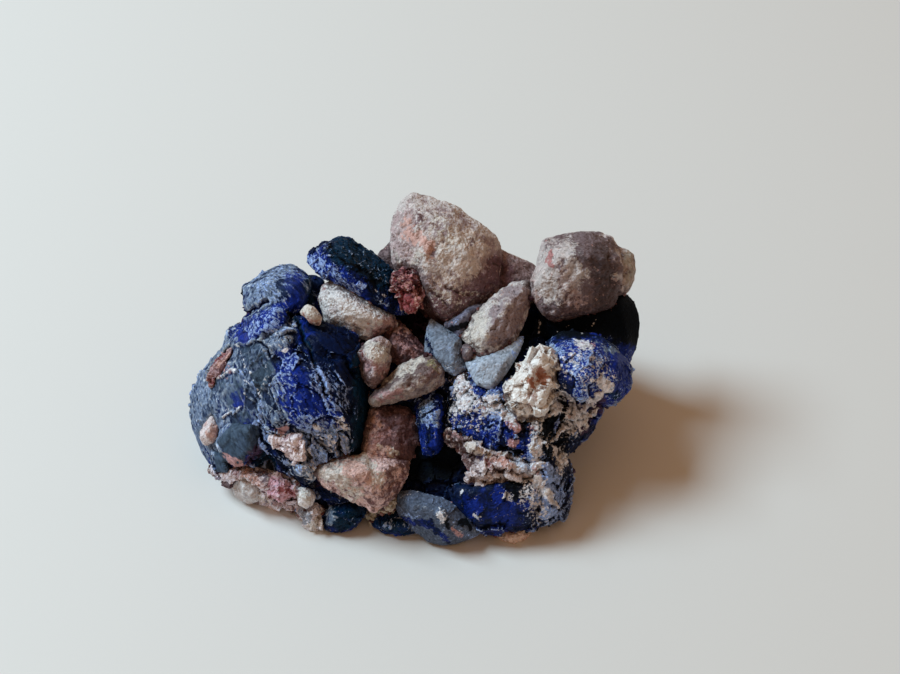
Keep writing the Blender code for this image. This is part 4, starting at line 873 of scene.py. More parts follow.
PLAIN_AZURITE = {"blue": 0.35, "teal": 0.0, "dust": 0.1, "bloom": -0.05, "chalk": -0.25, "rose": -0.4,
                 "calm": 0.0, "raise": 0.0, "seams": 0.2, "studs": 0.45}
RIB_LINE = (0.45, -0.42, -0.42)
left = fine_net("azurite_left_mass", cell=0.16)
marked(left, PLAIN_AZURITE, [
    # the knob at its top, granular and dusty, bluer on the right
    ("calm", 0.75, 3.4, (-16.6, 8.8), (-15.0, 10.0)),
    ("calm", 0.7, 3.0, (-19.0, 1.0), (-22.4, -3.4), (-23.0, -7.0)),
    ("dust", 0.55, 3.0, (-16.6, 8.8), (-15.0, 10.0)), ("dust", -0.4, 0.9, (-13.6, 9.6), (-12.8, 7.8)),
    ("blue", 0.5, 1.0, (-13.6, 9.8), (-12.8, 7.6)), ("bloom", 0.35, 2.0, (-16.0, 9.0), (-14.0, 10.6)),
    ("raise", -0.5, 0.2, (-18.6, 6.3), (-16.4, 7.5)), ("teal", 0.9, 0.6, (-11.9, 9.6), (-11.6, 7.4)),
    ("calm", 1.0, 2.2, (-17.6, 9.6), (-16.0, 11.4), (-12.6, 10.6)),
    ("seams", 0.2, 2.4, (-17.4, 8.4), (-15.6, 10.0)),
    # the streak of deep ultramarine under it
    ("blue", 0.9, 0.8, (-18.7, 3.6), (-14.2, 7.2)), ("dust", -0.6, 0.45, (-18.7, 3.7), (-17.6, 4.4)),
    ("dust", -0.7, 0.7, (-16.8, 4.6), (-14.3, 6.8)), ("bloom", 0.5, 0.9, (-17.6, 4.4), (-15.0, 6.4)),
    # the pale patch and the crease beside it
    ("dust", 0.9, 1.2, (-15.9, 3.6), (-14.4, 3.8)), ("chalk", 0.55, 0.9, (-15.8, 4.0), (-14.6, 3.2)),
    ("chalk", 0.9, 0.2, (-14.6, 2.3), (-14.4, 2.1)), ("raise", -0.4, 0.18, (-17.5, 3.7), (-16.1, 1.7)),
    ("raise", -0.5, 0.2, (-13.9, 6.5), (-12.4, 3.8), (-11.2, 1.0), (-9.8, -3.0)),
    ("teal", 0.9, 0.25, (-13.9, 6.5), (-12.4, 3.8), (-11.2, 1.0)),
    # the dusty dome at the left
    ("seams", 0.8, 3.2, (-18.4, 0.4), (-20.6, -3.0)), ("seams", -1.0, 2.2, (-20.6, -7.6), (-18.6, -8.2)),
    ("seams", -0.8, 1.0, (-18.7, 3.8), (-14.2, 7.2)), ("seams", -0.3, 3.0, (-13.4, 0.0), (-11.6, -4.6)),
    ("calm", 0.4, 3.4, (-17.4, 2.4), (-20.6, -2.4)), ("dust", 0.3, 1.2, (-19.6, -4.6), (-17.8, -5.2)),
    ("dust", 0.5, 2.8, (-18.0, 1.4), (-21.4, -2.4), (-23.0, -7.0)),
    ("dust", 0.35, 1.2, (-21.6, 2.6), (-24.4, -4.0)), ("chalk", 0.3, 2.4, (-20.2, 0.6), (-22.4, -3.6)),
    ("rose", 0.4, 1.2, (-19.6, -0.6), (-21.0, -0.4)), ("dust", -1.0, 0.45, (-17.0, -0.4), (-17.4, -2.6)),
    ("teal", 0.9, 0.4, (-17.0, -0.4), (-17.3, -2.4)),
    ("dust", -1.0, 0.6, "blue", 0.3, 0.6, (-19.0, -2.6), (-19.6, -3.6)),
    ("dust", -0.9, 0.4, (-18.9, -5.7), (-18.2, -5.9)),
    # pale ridges across it
    ("raise", 0.28, 0.12, "chalk", 0.6, 0.16, (-18.8, -1.5), (-18.0, -3.6)),
    ("raise", 0.28, 0.12, "chalk", 0.6, 0.16, (-16.0, 0.7), (-16.9, -3.2)),
    ("raise", 0.3, 0.2, (-17.7, -1.5), (-17.2, -4.0), (-16.6, -8.2)),
    ("dust", 0.9, 0.5, "bloom", 0.55, 0.5, (-17.6, -1.8), (-17.1, -4.2), (-16.6, -8.2)),
    ("raise", 0.25, 0.12, "chalk", 0.6, 0.18, (-21.0, -5.2), (-19.4, -4.3)),
    ("raise", 0.2, 0.12, "bloom", 0.7, 0.18, (-19.2, -6.4), (-17.4, -5.9)),
    ("raise", 0.2, 0.12, (-18.0, 0.6), (-16.8, 2.0)), ("bloom", 0.6, 0.2, (-19.4, -0.4), (-16.4, 1.8)),
    # four small flat faces on the dome, edged with pale lines
    ("calm", 0.8, 0.1, (-19.6, 2.6), (-17.2, 3.3), (-15.9, 1.7), (-18.1, -0.2), (-19.6, 2.6)),
    ("slate", 0.5, 0.1, (-19.4, 2.4), (-17.4, 3.0), (-16.3, 1.7), (-18.0, 0.1), (-19.4, 2.4)),
    ("calm", 0.8, 0.1, (-22.0, -1.1), (-19.4, 0.0), (-18.1, -1.7), (-18.7, -3.6), (-20.9, -4.4),
     (-22.0, -1.1)),
    ("slate", 0.5, 0.1, (-21.6, -1.4), (-19.5, -0.4), (-18.4, -1.8), (-18.9, -3.3), (-20.7, -4.0),
     (-21.6, -1.4)),
    ("slate", 0.75, 0.1, "calm", 0.8, 0.1, (-18.1, -0.6), (-16.1, 1.1), (-15.6, 0.0), (-17.0, -2.8),
     (-18.1, -0.6)),
    ("calm", 0.7, 0.1, (-20.9, -5.0), (-17.8, -4.1), (-17.6, -6.0), (-20.3, -6.2), (-20.9, -5.0)),
    ("slate", 0.5, 0.1, (-20.7, -5.1), (-18.0, -4.4), (-17.8, -5.8), (-20.2, -6.0), (-20.7, -5.1)),
    ("chalk", 0.55, 0.12, (-19.7, 2.7), (-17.1, 3.4), (-15.8, 1.6)),
    ("chalk", 0.55, 0.12, (-19.7, 2.6), (-18.1, -0.3)),
    ("chalk", 0.55, 0.14, (-22.0, -1.0), (-19.4, 0.1), (-18.0, -1.7)),
    ("chalk", 0.55, 0.12, (-20.9, -4.6), (-18.6, -3.7)),
    ("chalk", 0.55, 0.12, "raise", 0.2, 0.12, (-18.2, -0.2), (-16.9, -3.0)),
    ("raise", 0.3, 0.12, (-19.7, 2.7), (-17.1, 3.4), (-15.8, 1.6)),
    ("raise", 0.3, 0.12, (-22.0, -1.0), (-19.4, 0.1)),
    # the two flat slate-coloured crystal faces
    ("calm", 0.95, 0.1, "slate", 1.0, 0.1, (-21.8, -8.0), (-20.2, -6.2), (-17.5, -6.2), (-17.4, -8.3),
     (-18.8, -9.2), (-19.5, -10.6), (-20.6, -9.6), (-21.8, -8.0)),
    ("slate", 1.0, 0.1, "calm", 0.9, 0.1, (-22.2, -9.0), (-21.1, -9.3), (-20.4, -11.6), (-21.8, -11.4),
     (-22.2, -9.0)), ("rose", 0.95, 0.3, (-21.2, -9.2), (-20.2, -10.4), (-19.4, -11.4)),
    # the ribbed ultramarine face
    ("blue", 0.2, 2.6, (-13.8, 0.6), (-13.0, -2.6), (-11.8, -4.6)),
    ("dust", -0.2, 2.2, (-14.0, 0.6), (-12.6, -4.4)), ("blue", 0.5, 0.8, (-13.2, -3.6), (-12.9, -5.6)),
    ("blue", 0.3, 0.8, (-14.8, 0.2), (-13.8, -1.2)), ("bloom", 0.5, 1.5, (-9.8, 0.4), (-8.6, -3.0)),
    ("bloom", -0.12, 1.6, (-13.2, -3.6), (-10.2, -5.6)),
    ("dust", -0.35, 1.6, (-13.2, -3.6), (-10.2, -5.8)), ("blue", 0.25, 1.8, (-13.2, -3.0), (-10.4, -5.4)),
    ("bloom", -0.5, 0.5, (-12.8, -0.4), (-12.6, -2.0), (-12.0, -3.4)),
    ("dust", -0.4, 0.7, (-12.6, 0.6), (-11.6, -5.2)),
    ("bloom", 0.35, 2.2, (-13.8, 0.6), (-12.4, -2.4), (-11.4, -4.8)),
    ("dust", 0.35, 0.8, (-14.8, -1.6), (-13.8, -5.0)), ("dust", 1.0, 1.3, (-12.8, -8.4), (-11.4, -10.8)),
    ("bloom", 0.5, 1.0, (-12.6, -8.6), (-11.4, -10.4)),
    ("dust", 0.45, 1.1, (-16.4, -0.6), (-15.4, -4.6), (-14.6, -6.6)),
    ("chalk", 0.25, 1.4, (-16.0, -2.6), (-14.4, -6.6)),
    ("bloom", 0.75, 0.18, (-11.3, 0.9), (-10.4, -0.7), (-9.6, -2.4)),
    ("raise", 0.3, 0.15, (-11.3, 0.9), (-9.6, -2.4)), ("bloom", 0.3, 2.2, (-11.6, -7.0), (-8.8, -8.2)),
    ("dust", 0.5, 1.4, (-10.8, -7.2), (-8.4, -8.2)), ("dust", 0.35, 2.0, (-11.4, -7.2), (-8.8, -8.4)),
    ("chalk", 0.75, 1.1, (-12.0, -9.8), (-11.4, -11.4)), ("chalk", 0.3, 1.4, (-10.8, -8.0), (-9.0, -8.8)),
    ("black", -0.8, 1.3, (-12.8, -8.4), (-11.4, -11.4)),
    ("rose", -0.5, 1.0, (-12.4, -8.8), (-11.4, -10.4)), ("chalk", 0.4, 1.6, (-11.0, -7.0), (-8.2, -8.0)),
    ("chalk", 0.95, 0.4, "raise", 0.3, 0.4, (-8.5, -5.3), (-8.2, -6.2)),
    ("raise", -1.0, 0.25, "teal", 1.0, 0.3, (-8.4, -6.9), (-8.3, -9.0)),
    ("chalk", 0.8, 0.25, (-11.3, -6.0), (-11.1, -6.1)), ("rose", 0.7, 0.5, (-14.4, -6.3), (-15.2, -6.4)),
    # the smooth navy face, and the side wall painted dark teal without dust as shade
    ("calm", 0.85, 1.0, (-11.6, 4.0), (-8.4, 2.0)), ("blue", -0.45, 2.6, (-11.0, 3.6), (-8.0, 1.8)),
    ("dust", -0.6, 2.6, (-11.0, 3.4), (-7.8, 1.6)), ("bloom", -0.5, 2.2, (-11.0, 3.2), (-7.8, 1.6)),
    ("chalk", -0.3, 2.4, "seams", -0.4, 2.6, (-11.0, 3.4), (-7.8, 1.4)),
    ("blue", 0.6, 0.8, (-12.2, 4.8), (-11.8, 2.2)), ("chalk", 1.0, 0.22, (-10.9, 3.9), (-10.8, 3.3)),
    ("chalk", 0.8, 0.16, (-11.8, 3.9), (-11.7, 3.7)), ("chalk", 0.8, 0.12, (-8.7, 3.5), (-8.6, 3.4)),
    ("teal", 1.0, 0.9, (-6.2, 1.0), (-6.0, -4.0), (-6.4, -8.6)),
    ("dust", -1.0, 0.9, "blue", -0.8, 0.9, (-6.2, 1.0), (-6.2, -8.6)),
    ("bloom", -0.8, 0.7, (-6.1, 1.0), (-6.0, -8.6)), ("calm", 0.6, 0.8, (-6.2, 1.0), (-6.2, -8.6)),
    ("chalk", -1.0, 0.7, (-6.1, 1.0), (-6.0, -8.6)),
    # the cavity above the corner, painted dark teal without dust as shade, and the crystal over it
    ("raise", -1.2, 0.7, "teal", 1.0, 1.0, "dust", -1.0, 1.0, (-17.0, -9.8), (-16.2, -11.2)),
    ("purple", 0.8, 0.7, (-18.4, -9.6), (-17.2, -8.8)),
    ("rose", 0.9, 0.5, (-19.8, -10.0), (-18.0, -11.6)),
    ("chalk", 0.5, 0.25, (-20.6, -10.4), (-18.8, -11.6)),
    ("rose", 0.9, 0.5, (-16.4, -11.6), (-14.8, -12.2)),
    ("chalk", 0.4, 0.3, (-19.0, -9.6), (-18.2, -10.8)),
    ("blue", -0.4, 0.8, (-14.8, -8.4), (-13.4, -10.6)),
    ("bloom", 0.6, 0.15, (-15.0, -9.4), (-13.6, -11.4)),
])
skinned(left, crystal_tree, azurite_finish("azurite_left", dust=(0.18, 0.24, 0.36), line=RIB_LINE),
        blade_line=RIB_LINE, shard_size=2.0, shard_tilt=0.25, shard_step=0.2,
        chip_size=0.6, chip_tilt=0.3, chip_step=0.05, grain_height=0.015)
belongs(left, "azurite_left_mass", smooth=False)

right = fine_net("azurite_right_mass", cell=0.21)
marked(right, {**PLAIN_AZURITE, "dust": 0.0}, [
    ("studs", -1.0, 3.0, (4.8, -14.6), (11.0, -14.8)), ("studs", -1.0, 2.4, (0.6, -10.2), (3.6, -11.2)),
    ("studs", -1.0, 2.4, (14.0, 5.0), (24.0, 5.6)),
    ("studs", -0.6, 3.4, "calm", 0.4, 3.6, (17.4, 1.4), (21.0, -0.4)),
    ("studs", 0.3, 2.6, (7.6, -3.6), (9.6, -6.6)),
    ("studs", -0.5, 1.6, (24.0, 3.0), (18.0, -8.0), (16.0, -16.0)),
    # below the plates: a pinkish chalk patch, then blue crystals with pale flecks
    ("chalk", 0.72, 1.0, (4.4, -0.6), (5.6, -2.6), (5.2, -3.8)),
    ("bloom", 0.3, 1.2, (4.4, -0.6), (5.4, -3.4)),
    ("black", 0.8, 0.15, (4.0, -1.6), (4.9, -2.2), (4.7, -3.2)),
    ("black", 0.8, 0.14, (5.6, -0.8), (5.9, -2.0)), ("rose", 0.8, 0.8, (5.0, -0.6), (5.8, -3.0)),
    ("blue", 0.7, 0.9, (7.2, -1.8), (8.2, -2.4)), ("blue", 0.6, 1.0, (7.0, -3.6), (7.8, -4.6)),
    ("chalk", 0.5, 0.8, (6.8, -3.4), (7.8, -4.6)), ("bloom", 0.7, 0.9, (8.6, -3.6), (9.8, -4.6)),
    ("chalk", 0.75, 0.9, (8.4, -3.6), (9.8, -4.6)), ("chalk", 0.6, 1.4, (3.6, -4.6), (6.6, -6.0)),
    ("chalk", 0.3, 1.6, (6.0, -2.6), (8.6, -3.6)), ("bloom", 0.4, 1.6, (6.4, -2.6), (8.6, -4.0)),
    ("chalk", 0.7, 0.8, (11.4, -4.4), (10.6, -5.0)), ("chalk", 0.8, 0.7, (14.8, -2.4), (15.6, -4.6)),
    ("blue", 0.3, 1.2, (4.6, -5.6), (6.0, -6.6)), ("blue", 0.35, 1.3, (8.6, -5.8), (9.2, -7.6)),
    ("bloom", 0.25, 1.3, (8.4, -5.6), (9.0, -7.4)),
    # the pink grain, the salmon bit, the slit painted black as shade, and the cream strip right of them
    ("rose", 1.0, 0.75, "raise", 0.35, 0.7, (10.8, -5.8), (11.3, -6.4)),
    ("chalk", 0.6, 0.5, (10.9, -5.6), (11.2, -6.2)), ("rose", 1.0, 0.45, (10.6, -7.8), (11.3, -8.0)),
    ("raise", -0.6, 0.25, "black", 1.0, 0.3, (10.0, -8.8), (11.6, -9.0)),
    ("blue", 1.0, 0.6, "dust", -0.6, 0.6, (12.0, -8.9), (12.7, -9.4)),
    ("chalk", 0.85, 0.75, (13.4, -5.2), (13.4, -7.2), (13.2, -8.6)),
    ("black", 0.8, 0.14, (13.2, -6.0), (14.0, -7.4)),
    ("chalk", 0.9, 0.5, (13.6, -8.4), (13.4, -10.4), (13.6, -12.4)),
    ("rose", 0.5, 0.5, (13.0, -5.4), (13.0, -8.2)),
    ("raise", -0.5, 0.25, "black", 0.9, 0.25, (11.9, -4.9), (12.0, -6.6)),
    # the wedge behind the column, sunk and painted black as shade, with cream wisps over it
    ("black", 0.95, 1.4, (15.6, -4.6), (15.8, -8.4)), ("raise", -0.7, 1.0, (15.8, -6.2), (16.0, -8.0)),
    ("blue", -0.5, 2.4, "dust", -0.3, 2.0, (15.4, -4.0), (16.4, -9.0)),
    ("chalk", 0.9, 0.18, (14.0, -8.1), (15.5, -6.9)), ("chalk", 0.85, 0.16, (14.7, -5.2), (16.2, -4.2)),
    ("chalk", 0.8, 0.25, (15.2, -2.2), (17.0, -2.8), (17.6, -4.2)),
    ("chalk", 0.5, 1.3, (16.2, -3.2), (18.8, -4.6)), ("blue", 0.7, 0.7, (17.0, -3.4), (19.2, -4.6)),
    ("black", 0.9, 0.18, (15.6, -3.2), (16.6, -4.2), (16.4, -5.6)),
    ("black", 0.8, 0.16, (17.6, -3.0), (18.2, -4.4)),
    ("raise", -0.4, 0.2, (15.6, -3.2), (16.6, -4.2), (16.4, -5.6)),
    ("raise", -0.3, 0.16, (17.6, -3.0), (18.2, -4.4)),
    ("chalk", 1.0, 0.18, (20.8, -2.5), (19.6, -3.3), (18.6, -4.3)),
    ("raise", 0.4, 0.15, (20.8, -2.5), (18.6, -4.3)),
    ("chalk", 1.0, 0.18, (19.4, -3.0), (18.4, -4.4), (17.4, -5.3)),
    ("raise", 0.4, 0.15, (19.4, -3.0), (17.4, -5.3)),
    ("chalk", 1.0, 0.18, (16.8, -6.5), (16.0, -7.2), (14.9, -8.4)),
    ("raise", 0.4, 0.15, (16.8, -6.5), (14.9, -8.4)),
    ("chalk", 0.9, 0.15, "raise", 0.3, 0.12, (19.9, -4.3), (18.9, -5.9)),
    ("chalk", 0.5, 1.3, "bloom", 0.3, 1.2, (17.6, -5.6), (16.2, -8.4)),
    ("bloom", 0.45, 0.9, (15.9, -11.6), (15.8, -15.4)), ("chalk", 0.4, 0.8, (15.9, -9.6), (15.8, -11.6)),
    ("chalk", 0.5, 0.7, (15.0, -8.8), (16.0, -10.0)), ("rose", 0.55, 0.6, (20.2, -2.8), (19.6, -3.8)),
    ("purple", 0.7, 0.7, (20.6, -2.9), (19.8, -4.6), (18.4, -6.4)),
    ("chalk", 0.3, 1.0, (17.6, -6.4), (18.4, -5.0)), ("rose", 0.4, 0.5, (17.6, -7.4), (18.2, -6.4)),
    # the column at the right end of the shelf
    ("chalk", 0.8, 0.9, (11.6, -10.2), (12.6, -11.4)), ("bloom", 0.9, 0.9, (13.4, -9.8), (14.4, -13.8)),
    ("chalk", 0.45, 0.9, (14.0, -10.8), (14.2, -13.0)), ("blue", 0.4, 1.2, (13.0, -11.6), (13.6, -14.6)),
    ("bloom", 0.25, 1.4, (14.2, -11.4), (14.4, -15.6)),
    ("chalk", 1.0, 0.28, (14.5, -13.2), (15.2, -14.2), (15.6, -15.2)),
    ("raise", 0.3, 0.25, (14.5, -13.2), (15.6, -15.2)), ("dust", 0.5, 0.8, (13.8, -14.8), (14.6, -16.6)),
    ("bloom", 0.4, 0.9, (13.8, -14.8), (14.6, -16.2)), ("chalk", 0.45, 1.3, (12.6, -13.0), (14.0, -16.4)),
    ("chalk", 0.45, 0.6, (16.2, -10.2), (16.6, -11.4)), ("blue", -0.3, 0.9, (16.6, -12.0), (16.4, -15.8)),
    # the deep blue shelf
    ("calm", 0.5, 2.4, (5.4, -14.6), (9.8, -14.4)), ("dust", -0.25, 3.2, (4.8, -14.4), (10.4, -14.6)),
    ("blue", 0.4, 1.3, (9.6, -15.8), (12.4, -14.8)), ("blue", 0.05, 2.4, (5.6, -14.8), (9.8, -13.4)),
    ("black", 0.7, 1.0, (11.2, -12.6), (11.8, -13.4)), ("chalk", 0.6, 0.35, (9.9, -13.6), (10.7, -14.2)),
    ("chalk", 1.0, 0.2, (5.1, -13.6), (5.2, -13.7)), ("chalk", 1.0, 0.2, (6.7, -16.0), (6.8, -16.1)),
    ("bloom", 0.35, 0.9, (12.0, -14.2), (12.4, -16.2)), ("chalk", 0.36, 2.6, (6.0, -15.2), (12.0, -15.0)),
    ("bloom", -0.3, 2.6, (5.4, -14.6), (9.6, -14.6)),
    # the knob at the right, bright blue with white specks
    ("blue", 0.9, 3.4, (17.4, 1.4), (21.0, -0.4)), ("chalk", 0.6, 2.8, (17.6, 0.6), (20.6, -0.6)),
    ("bloom", 0.32, 2.8, (17.4, 0.8), (20.8, -0.4)), ("rose", 0.9, 0.55, (18.2, 2.9), (19.6, 2.5)),
    ("chalk", 0.6, 0.5, (18.4, 2.9), (19.2, 2.6)), ("chalk", 0.7, 0.5, (20.6, -1.4), (21.6, -1.9)),
    ("dust", 0.8, 0.8, (20.0, 3.2), (21.6, 2.4)), ("dust", 0.8, 0.7, (14.4, 2.8), (15.4, 2.2)),
    ("chalk", -0.5, 0.7, (22.4, 1.8), (23.2, 0.0), (22.6, -2.2)),
    ("bloom", -0.4, 0.7, (22.6, 1.8), (23.0, -1.0)), ("teal", 0.6, 0.6, (21.4, -2.2), (22.6, -2.6)),
    # the back behind the stones, painted near-black as shade, with a few pale strings
    ("black", 1.0, 2.2, (17.0, 5.4), (22.0, 6.0), (24.0, 5.0)),
    ("black", 1.0, 1.0, (13.0, 4.6), (15.6, 5.2)),
    ("dust", -1.0, 2.2, "blue", -0.9, 2.4, (14.0, 5.0), (24.0, 5.6)),
    ("calm", 1.0, 3.0, (17.0, 5.4), (22.0, 6.0), (24.6, 4.0)),
    ("chalk", 0.9, 0.16, (13.7, 5.6), (13.8, 4.1)), ("chalk", 0.8, 0.16, (20.0, 5.4), (18.5, 4.1)),
    ("chalk", 0.6, 0.2, (15.8, 4.4), (17.0, 4.9)), ("chalk", 0.6, 0.14, (23.8, 2.2), (24.0, 0.8)),
    # the hollow in the middle and the crevices between the plates, painted black as shade
    ("black", 1.0, 1.8, (0.6, -10.4), (3.2, -10.2)),
    ("blue", -0.8, 2.6, "dust", -1.0, 2.4, "bloom", -1.0, 2.4, "chalk", -0.8, 2.4, (0.6, -10.2),
     (3.6, -11.2)), ("chalk", 1.0, 0.18, (0.4, -10.4), (0.8, -10.9)),
    ("black", 0.3, 1.4, "purple", 0.95, 1.4, (-1.0, 6.6), (0.8, 3.4), (1.4, 0.4)),
    ("black", 1.0, 0.5, (3.4, -2.8), (3.6, -6.0)), ("black", 0.9, 0.5, (9.4, -0.8), (12.6, 3.6)),
])
skinned(right, crystal_tree, azurite_finish("azurite_right"), wear=2,
        shard_size=1.8, shard_tilt=0.26, shard_step=0.2,
        chip_size=0.9, chip_tilt=0.14, chip_step=0.03, grain_height=0.0)
belongs(right, "azurite_right_mass", smooth=False)

# ---------------------------------------------------------------- blades and lumps
# Single larger azurite crystals: the blade at the upper left with its ribbed
# bright edge, the short blade in the middle, and the dark lumps at the foot.
# They grew out of the two masses and are joined to them.
BLADES = {
    "azurite_back_blade": [
        ("blue", 0.75, 1.1, (-11.2, 11.8), (-8.8, 10.6), (-6.2, 8.8)),
        ("bloom", 0.65, 0.9, (-11.4, 12.2), (-6.4, 8.8)),
        ("chalk", 0.35, 0.4, (-11.2, 11.0), (-6.4, 8.0)), ("teal", 0.9, 1.6, (-8.0, 13.4), (-3.4, 10.6)),
        ("blue", -0.4, 2.0, (-8.0, 13.6), (-3.0, 9.6)), ("dust", 0.1, 1.6, (-7.0, 13.4), (-4.0, 11.6)),
        ("dust", 0.35, 0.5, (-11.6, 12.4), (-10.0, 14.2)), ("black", 0.6, 0.3, (-9.6, 13.4), (-4.4, 9.6)),
        ("chalk", 0.6, 0.2, (-4.4, 8.9), (-3.0, 7.4)),
    ],
    "azurite_centre_blade": [
        ("dust", 0.8, 0.8, (1.0, -3.6), (1.8, -5.4)), ("bloom", 0.5, 0.8, (1.4, -3.4), (1.6, -6.0)),
        ("blue", 0.9, 0.5, (2.6, -4.6), (2.4, -8.4)), ("chalk", 0.6, 0.2, (2.2, -6.6), (2.1, -8.2)),
        ("chalk", 0.4, 0.4, (0.6, -4.6), (0.8, -6.4)), ("black", 0.9, 0.2, (3.2, -3.4), (3.3, -7.0)),
    ],
    "azurite_foot_lump": [
        ("teal", 0.6, 2.0, (-8.4, -15.8), (-5.6, -16.4)),
        ("dust", 0.9, 0.5, (-9.5, -15.8), (-9.3, -16.9)),
        ("chalk", 0.4, 0.4, (-9.4, -16.0), (-9.2, -16.8)),
        ("chalk", 0.8, 0.15, (-9.6, -17.9), (-8.4, -18.0)),
        ("purple", 0.8, 0.3, (-9.3, -14.6), (-6.2, -14.2)),
    ],
    "azurite_front_lump": [
        ("teal", 0.6, 2.0, (-4.0, -16.4), (0.4, -17.4)), ("blue", 0.8, 0.5, (0.5, -16.6), (3.2, -18.6)),
        ("black", -0.5, 3.0, (-4.0, -16.4), (2.4, -17.4)),
        ("dust", 0.1, 1.2, (-3.0, -16.8), (-0.4, -17.4)),
        ("blue", 0.15, 2.4, (-4.0, -16.4), (0.4, -17.4)),
        ("chalk", -0.6, 2.4, (-4.0, -17.2), (2.4, -18.2)),
        ("chalk", 0.6, 0.12, (-3.4, -16.6), (-2.8, -15.8)),
    ],
    "azurite_under_boot": [
        ("purple", 0.7, 0.6, "blue", -0.3, 2.0, (-10.4, -12.4), (-6.6, -14.0)),
        ("chalk", 0.5, 0.12, (-10.6, -12.6), (-7.0, -14.6)),
    ],
}
for node, marks in BLADES.items():
    blade = fine_net(node, GRAIN_CELL)
    marked(blade, {**PLAIN_AZURITE, "dust": -0.1, "bloom": -0.1, "rose": -0.8, "seams": 0.0}, marks)
    skinned(blade, crystal_tree, azurite_finish(node + "_blue", line=RIB_LINE),
            shard_size=1.4, shard_tilt=0.15, shard_step=0.1,
            chip_size=0.5, chip_tilt=0.25, chip_step=0.05, grain_height=0.012)
    belongs(blade, node, smooth=False)

# ---------------------------------------------------------------- dusty plates
# Flat azurite crystals lying open between the stones, dulled to slate blue by
# fine dust: three in the middle and the broad one at the front foot, with a
# white nub and a bright blue lower rim.
PLATES = {
    # The tip plate faces up; its paler dust tint also stands in for painted light from above.
    "azurite_tip_plate": ((0.42, 0.49, 0.60), [
        ("bloom", 0.5, 0.3, (10.4, 1.6), (11.8, 3.4)), ("chalk", 0.45, 0.2, (10.6, 1.8), (11.9, 3.6)),
        ("chalk", 0.3, 0.8, (7.2, 1.0), (8.4, -0.6)), ("blue", 0.5, 0.5, (8.4, -1.6), (9.0, -1.2)),
    ]),
    "azurite_upper_plate": ((0.22, 0.27, 0.36), [
        ("dust", -0.5, 0.3, (4.2, 4.3), (4.9, 4.1)), ("chalk", 0.45, 0.8, (3.6, 0.8), (4.8, -0.4)),
        ("rose", 0.35, 0.5, (4.2, 0.4), (4.8, -0.8)), ("dust", -0.5, 0.3, (1.6, 3.4), (2.0, 1.4)),
    ]),
    "azurite_violet_plate": ((0.17, 0.17, 0.24), [
        ("dust", -0.6, 0.3, (3.4, 6.0), (5.4, 7.2)), ("rose", 0.35, 0.4, (3.4, 5.6), (4.2, 5.0)),
        ("black", 0.7, 0.25, (4.0, 4.7), (5.6, 4.9)),
    ]),
    "azurite_slate_plate": ((0.105, 0.135, 0.20), [
        ("chalk", 1.0, 0.4, "raise", 0.3, 0.4, (2.7, -15.9), (3.1, -16.5)),
        ("black", 0.9, 0.25, (3.4, -16.4), (3.9, -17.2)), ("rose", 0.9, 0.45, (4.2, -17.6), (4.9, -18.3)),
        ("chalk", 0.6, 0.35, (4.5, -17.4), (5.0, -18.0)),
        ("black", 0.8, 0.22, (5.0, -17.0), (6.0, -17.4)),
        ("chalk", 0.7, 0.14, (-1.4, -14.2), (1.2, -13.2)),
        ("bloom", 0.7, 0.12, (-1.2, -15.9), (0.6, -16.2)),
        ("dust", -0.9, 0.35, (-1.4, -16.4), (1.6, -17.0), (3.6, -18.6)),
        ("blue", 0.2, 0.4, (0.2, -16.8), (3.2, -18.4)), ("bloom", 0.4, 0.3, (5.4, -18.2), (7.4, -18.6)),
    ]),
}
for node, (dust, marks) in PLATES.items():
    plate = fine_net(node, cell=0.125)
    marked(plate, {**PLAIN_AZURITE, "dust": 0.95, "calm": 0.6, "seams": 0.0}, marks)
    slate = azurite_finish(node + "_slate", dust=dust, gloss=0.4, tilt=0.25, mottle=0.55)
    skinned(plate, crystal_tree, slate, shard_size=1.6, shard_tilt=0.1, shard_step=0.08,
            chip_size=0.5, chip_tilt=0.2, chip_step=0.04, grain_height=0.01)
    belongs(plate, node, smooth=False)

# ---------------------------------------------------------------- microcrystals and crumbs
# Thousands of tiny azurite crystals stud both masses, crumbs of chalk and of
# rusty clay cling to them, and sandy clay fills the seams between the stones.
# They grew or caught there, each sunk a little into what it sits on.
PATCH_WIDTH, ONSET, CROWDING, PRISM_TOP, JITTER_SCALE, JITTER = 1.2 * MM, 3.0, 2.0, 0.35, 4000.0, 0.6
LEAST_SIZES, MOST_SIZES = (0.5, 0.4, 0.5), (1.4, 1.2, 1.4)
strewn_tree, given, made = skin_tree("Strewn crystals", [
    ("Where", "String", "chalk"), ("From amount", "Float", 0.3), ("Seed", "Int", 1),
    ("Spacing", "Length", 0.5), ("Crystal size", "Length", 0.4), ("Slimness", "Float", 1.0),
    ("Lean", "Float", 1.0), ("Sunk", "Float", 0.2), ("Round crumb", "Bool", False),
    ("Clumping", "Float", 0.35)])
clouds = lumps(strewn_tree, here(strewn_tree), PATCH_WIDTH)
patchy = maths(strewn_tree, "ADD", told(strewn_tree, given["Where"]),
               maths(strewn_tree, "MULTIPLY", clouds, given["Clumping"]))
enough = maths(strewn_tree, "SUBTRACT", patchy, given["From amount"])
often = maths(strewn_tree, "MULTIPLY", enough, ONSET, clamp=True)
square = maths(strewn_tree, "MULTIPLY", given["Spacing"], given["Spacing"])
crowd = maths(strewn_tree, "DIVIDE", CROWDING, square)
spots = step(strewn_tree, "GeometryNodeDistributePointsOnFaces", {
    "Mesh": given["Geometry"], "Distance Min": given["Spacing"], "Density Max": crowd,
    "Density Factor": often, "Seed": given["Seed"]}, distribute_method="POISSON").node.outputs


def chance(low, high, offset, kind="FLOAT_VECTOR"):
    """A different seeded random value for every crystal."""
    seed = maths(strewn_tree, "ADD", given["Seed"], offset)
    return step(strewn_tree, "FunctionNodeRandomValue", {"Min": low, "Max": high, "Seed": seed},
                data_type=kind)


